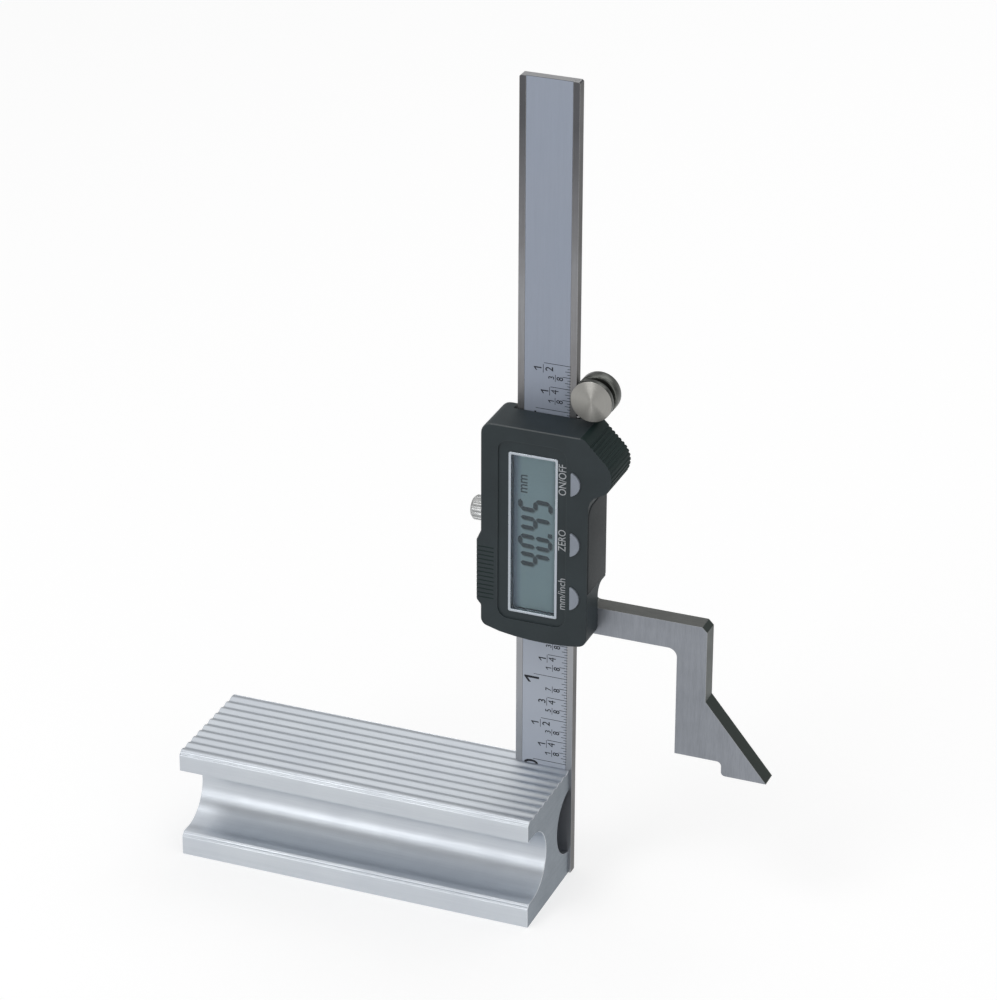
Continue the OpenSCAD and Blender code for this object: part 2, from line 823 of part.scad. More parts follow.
// The seat of the battery lid and the opening for the cell
module lid_cut() {
    translate([0, over, 0])
        along_x(housing_x1 - wall, housing_x1 + over)
            lid_outline();
    along_x(housing_x1 - wall, housing_x1 + over)
        lid_outline();
    box([housing_x1 - wall - over, cell_y0 - 0.2, cell_z - cell_d / 2 - 0.2],
        [housing_x1 + over, cell_y1 + 0.1, cell_z + cell_d / 2 + 0.2]);
}

module battery_lid() {
    tongue = 0.8;
    half = cell_d / 2 - 1.3;
    color("#4a4f50")
        on_slider() {
            along_x(housing_x1 - wall + drop_gap, housing_x1 + lid_out)
                lid_outline(2 * drop_gap);
            box([housing_x1 - wall - tongue, cell_y0, cell_z - half],
                [housing_x1 - wall + drop_gap, cell_y0 + 1.2, cell_z + half]);
            box([housing_x1 - wall - tongue, cell_y1 - 1.4, cell_z - half],
                [housing_x1 - wall + drop_gap, cell_y1 - 0.2, cell_z + half]);
        }
}

// A pan head screw from the frame into a boss of the housing
module case_screw(x, z) {
    difference() {
        union() {
            rod_y(x, z, screw_r, inner_y0 + 1, frame_y1 - head_h);
            rod_y(x, z, head_r, frame_y1 - head_h, frame_y1 - 0.05);
        }
        cross_slot(x, z, head_r - 0.45, frame_y1 - 0.05 - slot_d);
    }
}

module housing_screws() {
    color("#b9bbbd")
        on_slider() {
            for (z = case_left_zs)
                case_screw(left_screw_x, z);
            for (z = case_right_zs)
                case_screw(right_screw_x, z);
        }
}

module lcd_trim() {
    color("#c3cad6")
        on_slider()
            along_y(trim_y1 - trim_t, trim_y1)
                difference() {
                    trim_outline();
                    trim_outline(trim_rim);
                }
}

module lcd_window() {
    color("#a9c4c4", 0.4)
        on_slider()
            along_y(inner_y0 - lens_t, inner_y0)
                trim_outline(trim_rim + drop_gap);
}

// The dark frame that holds window and display apart
module lcd_spacer() {
    color("#22282a")
        on_slider()
            along_y(inner_y0, lcd_y0)
                difference() {
                    trim_outline();
                    trim_outline(trim_rim + 0.15);
                }
}

module lcd_panel() {
    color("#71878a")
        on_slider()
            box([trim_x0 + 0.1, lcd_y0, trim_z0 + 0.1],
                [trim_x0 + trim_w - 0.1, lcd_y0 + lcd_t, trim_z0 + trim_h - 0.1]);
}

module zebra_strip() {
    color("#c98a94")
        on_slider()
            box([trim_x0 + 1, lcd_y0 + lcd_t, trim_z0 + 3], [trim_x0 + 2.8, board_y0, trim_z0 + trim_h - 3]);
}

module circuit_board() {
    color("#1f6b3a")
        on_slider()
            difference() {
                box([frame_x0 + 0.1, board_y0, board_z0], [frame_x1 - 0.1, board_y1, board_z1]);
                for (z = case_left_zs)
                    rod_y(left_screw_x, z, screw_r + 0.2, board_y0 - over, board_y1 + over);
                rod_y(right_screw_x, case_right_zs[1], screw_r + 0.2, board_y0 - over, board_y1 + over);
            }
}

module sensor_pad() {
    pad_inset = 0.3;
    color("#b5793a")
        on_slider()
            box([beam_x - strip_w / 2, board_y1, board_z0 + pad_inset],
                [beam_x + strip_w / 2, beam_y0 - 0.25, frame_z1 - web_h - pad_inset]);
}

// The push switches that stand on the circuit board behind the buttons
module button_switches() {
    x = button_x + 0.85;
    color("#20262b")
        on_slider()
            for (z = button_zs) {
                box([x - 1.5, switch_y0 + 0.5, z - 1.5], [x + 1.5, board_y0, z + 1.5]);
                rod_y(x, z, 0.9, switch_y0, switch_y0 + 0.5);
            }
}

module button_cap(z) {
    color("#9aa0ab")
        on_slider() {
            along_y(housing_y0 - button_out, flange_y0)
                button_outline(z);
            along_y(flange_y0, flange_y1)
                button_outline(z, -0.45);
            rod_y(button_x + 0.85, z, 0.8, flange_y1, switch_y0 - button_travel - 0.05);
        }
}

module button_on_off() {
    button_cap(button_zs[2]);
}

module button_zero() {
    button_cap(button_zs[1]);
}

module button_units() {
    button_cap(button_zs[0]);
}

module battery() {
    rim = 0.5;
    color("#cfd1d3")
        on_slider() {
            rod_y(cell_x, cell_z, cell_d / 2, cell_y0 + rim, cell_y1);
            rod_y(cell_x, cell_z, cell_d / 2 - 0.9, cell_y0, cell_y0 + rim);
        }
}

// The two springy contacts: one plate under the cell, one bent over it
module battery_contacts() {
    leg = cell_x - cell_d / 2 - 0.3;
    t = 0.15;
    color("#d9c48a")
        on_slider() {
            box([cell_x - 4, cell_y1, cell_z - 2], [cell_x + 3, board_y0, cell_z + 2]);
            box([leg - t, cell_y0 - t, cell_z - 1.5], [leg, board_y0, cell_z + 1.5]);
            box([leg - t, cell_y0 - t, cell_z - 1.5], [cell_x + 1, cell_y0, cell_z + 1.5]);
        }
}

module roller_axle() {
    color("#8f9194")
        on_slider() {
            rod_y(roller_x, roller_z, axle_r, roller_y0 + 1.7, plate_y1);
            rod_y(roller_x, roller_z, axle_r + 0.9, plate_y1, plate_y1 + 0.7);
        }
}

// The roller is turned from bar: a front disc, a neck and a wide rim that runs on the beam's edge.
// A blind bore takes the axle from its back.
module thumb_roller() {
    c = 0.12;
    rim_l = 0.5 * roller_l;
    disc_z = roller_l - 1.7;
    color("#a3a4a2")
        on_slider()
            translate([roller_x, roller_y1, roller_z])
                rotate([90, 0, 0])
                    rotate_extrude($fn = 128)
                        polygon([[axle_r + run_gap, 0], [roller_r - c, 0], [roller_r, c],
                            [roller_r, rim_l - c], [roller_r - c, rim_l], [neck_r, rim_l],
                            [neck_r, disc_z], [roller_r - c, disc_z], [roller_r, disc_z + c],
                            [roller_r, roller_l - c], [roller_r - c, roller_l], [0, roller_l],
                            [0, roller_l - 1.4], [axle_r + run_gap, roller_l - 1.4]]);
}

module lock_screw() {
    c = 0.7;
    color("#b9bab9")
        on_slider()
            difference() {
                union() {
                    translate([knob_x0, side_y, lock_z])
                        rotate([0, 90, 0])
                            rotate_extrude($fn = 96)
                                polygon([[0, 0], [knob_r - c, 0], [knob_r, c], [knob_r, knob_l - c / 2],
                                    [knob_r - c / 2, knob_l], [lock_r + 0.6, knob_l],
                                    [lock_r + 0.6, knob_l + 1.2], [0, knob_l + 1.2]]);
                    rod_x(side_y, lock_z, lock_r, knob_x1 + 1.2, rail_l_x1 - 0.8);
                }
                for (i = [0:knob_flutes - 1])
                    translate([knob_x0 - over, side_y, lock_z])
                        rotate([i * 360 / knob_flutes, 0, 0])
                            translate([0, knob_r + 0.15, 0])
                                rotate([0, 90, 0])
                                    cylinder(r = 0.45, h = knob_l + 2 * over, $fn = 16);
            }
}

module lock_pad() {
    color("#c79a4b")
        on_slider()
            rod_x(side_y, lock_z, lock_r - 0.05, rail_l_x1 - 0.75, gib_x0);
}

base_block();
beam();
scale_strip();
beam_screws();
end_stop_screw();
slider_frame();
back_plate();
back_plate_screws();
gib_strip();
gib_screws();
wear_strip();
front_housing();
housing_screws();
lcd_trim();
lcd_window();
lcd_spacer();
lcd_panel();
zebra_strip();
circuit_board();
sensor_pad();
button_switches();
battery();
battery_contacts();
battery_lid();
button_on_off();
button_zero();
button_units();
roller_axle();
thumb_roller();
lock_screw();
lock_pad();
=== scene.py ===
import math
import bmesh
import bpy
from mathutils import Matrix, Vector


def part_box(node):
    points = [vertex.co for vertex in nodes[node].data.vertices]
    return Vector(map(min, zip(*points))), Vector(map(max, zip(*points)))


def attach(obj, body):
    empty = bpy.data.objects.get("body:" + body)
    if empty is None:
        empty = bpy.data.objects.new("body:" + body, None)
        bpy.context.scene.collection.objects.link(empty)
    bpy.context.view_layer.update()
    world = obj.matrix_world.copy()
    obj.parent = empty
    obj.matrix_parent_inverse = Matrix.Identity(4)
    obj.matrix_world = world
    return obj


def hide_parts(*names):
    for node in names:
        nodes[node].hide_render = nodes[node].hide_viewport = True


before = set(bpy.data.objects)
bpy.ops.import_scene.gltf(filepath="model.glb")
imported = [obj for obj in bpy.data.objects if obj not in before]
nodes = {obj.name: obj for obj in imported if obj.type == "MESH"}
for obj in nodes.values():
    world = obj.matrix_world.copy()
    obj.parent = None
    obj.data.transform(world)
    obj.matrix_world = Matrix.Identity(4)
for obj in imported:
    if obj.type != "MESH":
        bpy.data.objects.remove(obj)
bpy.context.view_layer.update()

from types import SimpleNamespace

# Everything below is in millimetres until a mesh is made. X runs to the arm, Y to the back, Z up.
mm = 0.001
collection = bpy.context.scene.collection


def corners(node):
    low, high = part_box(node)
    return [c / mm for c in low], [c / mm for c in high]


# small helpers
def linear(colour):
    out = []
    for c in colour:
        c = c / 255
        out.append(c / 12.92 if c <= 0.04045 else ((c + 0.055) / 1.055) ** 2.4)
    return (*out, 1.0)


def addObject(name, mesh):
    piece = bpy.data.objects.new(name, mesh)
    collection.objects.link(piece)
    return piece


def solidFrom(name, points, faces, look=None, edges=()):
    mesh = bpy.data.meshes.new(name)
    mesh.from_pydata([Vector(p) * mm for p in points], edges, faces)
    mesh.update()
    if look:
        mesh.materials.append(finish[look])
    return addObject(name, mesh)


def bake(piece):
    # turns the evaluated object into a plain mesh
    graph = bpy.context.evaluated_depsgraph_get()
    graph.update()
    shown = piece.evaluated_get(graph)
    mesh = bpy.data.meshes.new_from_object(shown, preserve_all_data_layers=True, depsgraph=graph)
    piece.modifiers.clear()
    piece.data = mesh
    return piece


def smooth(piece, angle):
    for face in piece.data.polygons:
        face.use_smooth = True
    piece.data.set_sharp_from_angle(angle=math.radians(angle))


def roundEdges(piece, width, segments=3, angle=30):
    # breaks every sharp edge with a small round, as a real part has
    bevel = piece.modifiers.new("roundEdges", "BEVEL")
    bevel.width = width * mm
    bevel.segments = segments
    bevel.limit_method = "ANGLE"
    bevel.angle_limit = math.radians(angle)
    bevel.use_clamp_overlap = True
    bevel.miter_outer = "MITER_ARC"
    bake(piece)
    smooth(piece, 40)
    even = piece.modifiers.new("evenNormals", "WEIGHTED_NORMAL")
    even.keep_sharp = True
    return bake(piece)


def reshape(mesh, change):
    # edits a mesh in place
    work = bmesh.new()
    work.from_mesh(mesh)
    change(work)
    work.to_mesh(mesh)
    work.free()
    mesh.update()


def mend(work):
    bmesh.ops.remove_doubles(work, verts=work.verts, dist=2e-6)
    bmesh.ops.dissolve_limit(work, angle_limit=math.radians(0.6), verts=work.verts, edges=work.edges)


def cleanCopy(name, source, look):
    # a merged copy of a node's loose triangles, with its flat faces in one piece
    mesh = nodes[source].data.copy()
    mesh.materials.clear()
    mesh.materials.append(finish[look])
    reshape(mesh, mend)
    return addObject(name, mesh)


def settle(piece, body, slotName, *replaced):
    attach(piece, body)
    if replaced:
        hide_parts(*replaced)


def dress(name, source, body, slotName, look, width, segments=3, angle=30):
    piece = cleanCopy(name, source, look)
    roundEdges(piece, width, segments, angle)
    settle(piece, body, slotName, source)


def paintFaces(piece, look, test):
    # gives a second finish to the faces whose normal and centre pass the test
    piece.data.materials.append(finish[look])
    index = len(piece.data.materials) - 1
    for face in piece.data.polygons:
        if test(face.normal, face.center / mm):
            face.material_index = index


def prism(name, outline, stations, look=None, alongX=False):
    # a prism along Y from an outline in X and Z, counterclockwise seen from the front, or along X
    # from one in Y and Z seen from the right; each station is (place, how far the outline shrinks)
    points = []
    for place, by in stations:
        ring = shrink(outline, by) if by else outline
        points += [(place, u, v) if alongX else (u, place, v) for u, v in ring]
    count = len(outline)
    last = len(points) - count
    faces = [tuple(range(count)), tuple(range(last + count - 1, last - 1, -1))]
    for k in range(0, last, count):
        for i in range(count):
            j = (i + 1) % count
            faces.append((k + i, k + count + i, k + count + j, k + j))
    if alongX:
        faces = [face[::-1] for face in faces[:2]] + [face[:1] + face[:0:-1] for face in faces[2:]]
    return solidFrom(name, points, faces, look)


def extrudeY(name, outline, y0, y1, look=None):
    return prism(name, outline, [(y0, 0), (y1, 0)], look)


def boxPiece(name, low, high, look=None):
    outline = [(low[0], low[2]), (high[0], low[2]), (high[0], high[2]), (low[0], high[2])]
    return extrudeY(name, outline, low[1], high[1], look)


def arc(cx, cz, r, start, end, steps):
    out = []
    for i in range(steps + 1):
        t = math.radians(start + (end - start) * i / steps)
        out.append((cx + r * math.cos(t), cz + r * math.sin(t)))
    return out


def roundedOutline(points, steps=8):
    # each point is (x, z, radius); a corner with a radius becomes an arc
    out = []
    count = len(points)
    for i in range(count):
        x, z, r = points[i]
        here = Vector((x, z))
        if r <= 0:
            out.append((x, z))
            continue
        before = (Vector(points[i - 1][:2]) - here).normalized()
        after = (Vector(points[(i + 1) % count][:2]) - here).normalized()
        half = before.angle(after) / 2
        reach = r / math.tan(half)
        middle = here + (before + after).normalized() * (r / math.sin(half))
        first = here + before * reach - middle
        last = here + after * reach - middle
        a0 = math.atan2(first.y, first.x)
        turn = math.remainder(math.atan2(last.y, last.x) - a0, 2 * math.pi)
        for k in range(steps + 1):
            t = a0 + turn * k / steps
            out.append((middle.x + r * math.cos(t), middle.y + r * math.sin(t)))
    return out


def shrink(outline, by):
    # moves every point of a counterclockwise outline inwards
    out = []
    count = len(outline)
    for i in range(count):
        here = Vector(outline[i])
        a = (here - Vector(outline[i - 1])).normalized()
        b = (Vector(outline[(i + 1) % count]) - here).normalized()
        na = Vector((-a.y, a.x))
        nb = Vector((-b.y, b.x))
        mid = (na + nb).normalized()
        scale = by / max(mid.dot(na), 0.3)
        out.append((here.x + mid.x * scale, here.y + mid.y * scale))
    return out


def boxOutline(x0, z0, x1, z1, r, steps=6):
    return roundedOutline([(x0, z0, r), (x1, z0, r), (x1, z1, r), (x0, z1, r)], steps)


def lathe(name, profile, centre, axis, steps, look=None):
    # turns a profile of (radius, place along the axis) round an axis through centre
    points = []
    rings = []
    for r, p in profile:
        turns = steps if r else 1
        rings.append([len(points) + i for i in range(turns)])
        for i in range(turns):
            t = 2 * math.pi * i / turns
            a, b = r * math.cos(t), r * math.sin(t)
            spot = {"x": (p, a, b), "y": (b, p, a)}[axis]
            points.append([at + c for at, c in zip(spot, centre)])
    faces = []
    for a, b in zip(rings, rings[1:]):
        for i in range(steps):
            j = (i + 1) % steps
            corner = [a[i % len(a)], a[j % len(a)], b[j % len(b)], b[i % len(b)]]
            faces.append(list(dict.fromkeys(corner)))
    piece = solidFrom(name, points, faces, look)
    reshape(piece.data, lambda work: bmesh.ops.recalc_face_normals(work, faces=work.faces))
    return piece


def join(name, pieces):
    # one object from several loose ones of the same finish
    work = bmesh.new()
    for piece in pieces:
        work.from_mesh(piece.data)
    for face in work.faces:
        face.material_index = 0
    mesh = bpy.data.meshes.new(name)
    work.to_mesh(mesh)
    work.free()
    mesh.materials.append(pieces[-1].data.materials[0])
    for piece in pieces:
        bpy.data.objects.remove(piece)
    return addObject(name, mesh)


def carve(piece, cutters):
    for cutter in cutters:
        cut = piece.modifiers.new("cut", "BOOLEAN")
        cut.operation = "DIFFERENCE"
        cut.solver = "EXACT"
        cut.use_self = True
        cut.object = cutter
    bake(piece)
    for cutter in cutters:
        bpy.data.objects.remove(cutter)


# shader groups
vectorKind = "NodeSocketVector"
floatKind = "NodeSocketFloat"


def newGroup(name, kind, ins, outs):
    # a node group, with its sockets ready to be used from inside
    tree = bpy.data.node_groups.new(name, kind)
    for label, socketKind in ins:
        tree.interface.new_socket(label, in_out="INPUT", socket_type=socketKind)
    for label, socketKind in outs:
        tree.interface.new_socket(label, in_out="OUTPUT", socket_type=socketKind)
    return tree, tree.nodes.new("NodeGroupInput").outputs, tree.nodes.new("NodeGroupOutput").inputs


def feed(tree, socket, value):
    # links a socket, or sets a plain value
    if isinstance(value, bpy.types.NodeSocket):
        tree.links.new(value, socket)
    else:
        socket.default_value = value


def node(tree, kind, inputs=None, **settings):
    # a new node with its settings made and its inputs fed
    made = tree.nodes.new(kind)
    for key, value in settings.items():
        setattr(made, key, value)
    for key, value in (inputs or {}).items():
        feed(tree, made.inputs[key], value)
    return made


def calc(tree, operation, a, b=0.0, clamp=False):
    return node(tree, "ShaderNodeMath", {0: a, 1: b}, operation=operation, use_clamp=clamp).outputs[0]


def vectorCalc(tree, operation, a, b):
    made = node(tree, "ShaderNodeVectorMath", {0: a, 1: b}, operation=operation)
    return made.outputs["Value" if operation in ("DOT_PRODUCT", "LENGTH") else "Vector"]


def spread(tree, value, low, high):
    inputs = {"Value": value, "From Min": low, "From Max": high}
    return node(tree, "ShaderNodeMapRange", inputs).outputs["Result"]


def noise(tree, vector, scale, detail, rough=0.55):
    inputs = {"Vector": vector, "Scale": scale, "Detail": detail, "Roughness": rough}
    return node(tree, "ShaderNodeTexNoise", inputs).outputs["Fac"]


def mixColour(tree, factor, a, b):
    return node(tree, "ShaderNodeMix", {0: factor, 6: a, 7: b}, data_type="RGBA").outputs[2]


def shaderGroup(name, vectors, floats, outs):
    ins = [(label, vectorKind) for label in vectors] + [(label, floatKind) for label in floats]
    return newGroup(name, "ShaderNodeTree", ins, [(label, floatKind) for label in outs])


def buildBrushedGrain():
    tree, into, out = shaderGroup("brushedGrain", ["Vector", "Stretch"], [], ["Streak", "Haze"])
    place = vectorCalc(tree, "MULTIPLY", into["Vector"], into["Stretch"])
    feed(tree, out["Streak"], spread(tree, noise(tree, place, 1.0, 3.0, 0.65), 0.32, 0.68))
    feed(tree, out["Haze"], spread(tree, noise(tree, place, 0.16, 1.0), 0.3, 0.7))
    return tree


def buildWornEdge():
    tree, into, out = shaderGroup("edgeWearAndPaintedHighlight", [], ["Radius", "Strength"], ["Mask"])
    bevel = node(tree, "ShaderNodeBevel", {"Radius": into["Radius"]}, samples=4)
    shape = node(tree, "ShaderNodeNewGeometry")
    same = vectorCalc(tree, "DOT_PRODUCT", bevel.outputs["Normal"], shape.outputs["Normal"])
    bent = calc(tree, "SUBTRACT", 1.0, same)
    feed(tree, out["Mask"], calc(tree, "MULTIPLY", bent, into["Strength"], clamp=True))
    return tree


def buildBlotches():
    tree, into, out = shaderGroup("blotches", ["Vector"], ["Size"], ["Patch"])
    feed(tree, out["Patch"], spread(tree, noise(tree, into["Vector"], into["Size"], 4.0, 0.6), 0.35, 0.68))
    return tree


def buildMouldGrain():
    tree, into, out = shaderGroup("mouldGrain", ["Vector"], ["Size"], ["Grain"])
    inputs = {"Vector": into["Vector"], "Scale": into["Size"]}
    cell = node(tree, "ShaderNodeTexVoronoi", inputs, feature="SMOOTH_F1")
    soft = noise(tree, into["Vector"], calc(tree, "MULTIPLY", into["Size"], 0.45), 2.0)
    feed(tree, out["Grain"], calc(tree, "ADD", cell.outputs["Distance"], soft))
    return tree


def buildTurnedRings():
    tree, into, out = shaderGroup("turnedRings", ["Vector", "Centre"], ["Rings"], ["Ring"])
    away = vectorCalc(tree, "SUBTRACT", into["Vector"], into["Centre"])
    flat = vectorCalc(tree, "MULTIPLY", away, (1, 0, 1))
    reach = vectorCalc(tree, "LENGTH", flat, (0, 0, 0))
    inputs = {"W": calc(tree, "MULTIPLY", reach, into["Rings"]), "Scale": 1.0, "Detail": 3.0}
    line = node(tree, "ShaderNodeTexNoise", inputs, noise_dimensions="1D")
    feed(tree, out["Ring"], spread(tree, line.outputs["Fac"], 0.3, 0.7))
    return tree


builders = (buildBrushedGrain, buildWornEdge, buildBlotches, buildMouldGrain, buildTurnedRings)
groups = {tree.name: tree for tree in (build() for build in builders)}


def surface(name, look):
    # one material from its look: colours are as they appear, bumps in millimetres
    material = bpy.data.materials.new(name)
    material.use_nodes = True
    tree = material.node_tree
    shader = tree.nodes["Principled BSDF"].inputs
    spot = node(tree, "ShaderNodeTexCoord").outputs["Object"]
    colour = linear(look["colour"])
    rough = look["rough"]
    height = 0.0

    def use(group, **values):
        made = node(tree, "ShaderNodeGroup", node_tree=groups[group])
        if "Vector" in made.inputs:
            feed(tree, made.inputs["Vector"], spot)
        for key, value in values.items():
            made.inputs[key].default_value = value
        return made.outputs

    def times(a, b):
        return calc(tree, "MULTIPLY", a, b)

    def plus(a, b):
        return calc(tree, "ADD", a, b)

    def tint(mask, amount, other):
        return mixColour(tree, times(mask, amount), colour, linear(other))

    if "patch" in look:
        size, other, amount, roughMore = look["patch"]
        patch = use("blotches", Size=size)["Patch"]
        colour = tint(patch, amount, other)
        rough = plus(times(patch, roughMore), rough)
    if "grain" in look:
        stretch, other, amount, roughMore, depth = look["grain"]
        grain = use("brushedGrain", Stretch=stretch)
        both = plus(times(grain["Streak"], 0.65), times(grain["Haze"], 0.35))
        colour = tint(both, amount, other)
        rough = plus(rough, times(both, roughMore))
        height = plus(height, times(grain["Streak"], depth))
    # painted shading: the colour is ramped along one axis towards a lighter or darker tone, where light or
    # shade falls
    for axis, low, high, other, amount in look.get("fade", []):
        split = node(tree, "ShaderNodeSeparateXYZ", {0: spot})
        colour = tint(spread(tree, split.outputs[axis], low, high), amount, other)
    if "mould" in look:
        size, depth = look["mould"]
        grit = use("mouldGrain", Size=size)["Grain"]
        height = plus(height, times(grit, depth))
        rough = plus(rough, times(calc(tree, "SUBTRACT", grit, 0.8), 0.12))
    if "rings" in look:
        centre, count, other, amount, depth = look["rings"]
        ring = use("turnedRings", Centre=centre, Rings=count)["Ring"]
        colour = tint(ring, amount, other)
        rough = plus(rough, times(ring, 0.08))
        height = plus(height, times(ring, depth))
    # worn edges, and on the shell and the lid also a painted edge highlight: the edges are tinted lighter
    if "wear" in look:
        radius, other, amount, strength = look["wear"]
        mask = use("edgeWearAndPaintedHighlight", Radius=radius * mm, Strength=strength)["Mask"]
        colour = tint(mask, amount, other)
        if "polish" in look:
            rough = calc(tree, "SUBTRACT", rough, times(mask, look["polish"]))
    if height:
        inputs = {"Strength": look.get("bump", 0.5), "Distance": mm, "Height": height}
        feed(tree, shader["Normal"], node(tree, "ShaderNodeBump", inputs).outputs["Normal"])
    if "aniso" in look:
        tangent = node(tree, "ShaderNodeTangent", direction_type="RADIAL", axis=look["tangent"])
        feed(tree, shader["Tangent"], tangent.outputs["Tangent"])
        shader["Anisotropic Rotation"].default_value = look["turn"]
    sockets = {"Base Color": colour, "Roughness": rough, "Metallic": look.get("metallic", 0.0),
        "IOR": look.get("ior", 1.45), "Specular IOR Level": look.get("specular", 0.5),
        "Transmission Weight": look.get("clear", 0.0), "Coat Weight": look.get("coat", 0.0),
        "Coat Roughness": 0.1, "Anisotropic": look.get("aniso", 0.0)}
    for label, value in sockets.items():
        feed(tree, shader[label], value)
    material.diffuse_color = linear(look["colour"])
    return material


print("materials")
rollerLow, rollerHigh = corners("thumb_roller")
rollerMid = [(a + b) / 2 for a, b in zip(rollerLow, rollerHigh)]


def plain(colour, rough, **more):
    return dict(colour=colour, rough=rough, **more)


def metal(colour, rough, **more):
    return plain(colour, rough, metallic=1.0, **more)


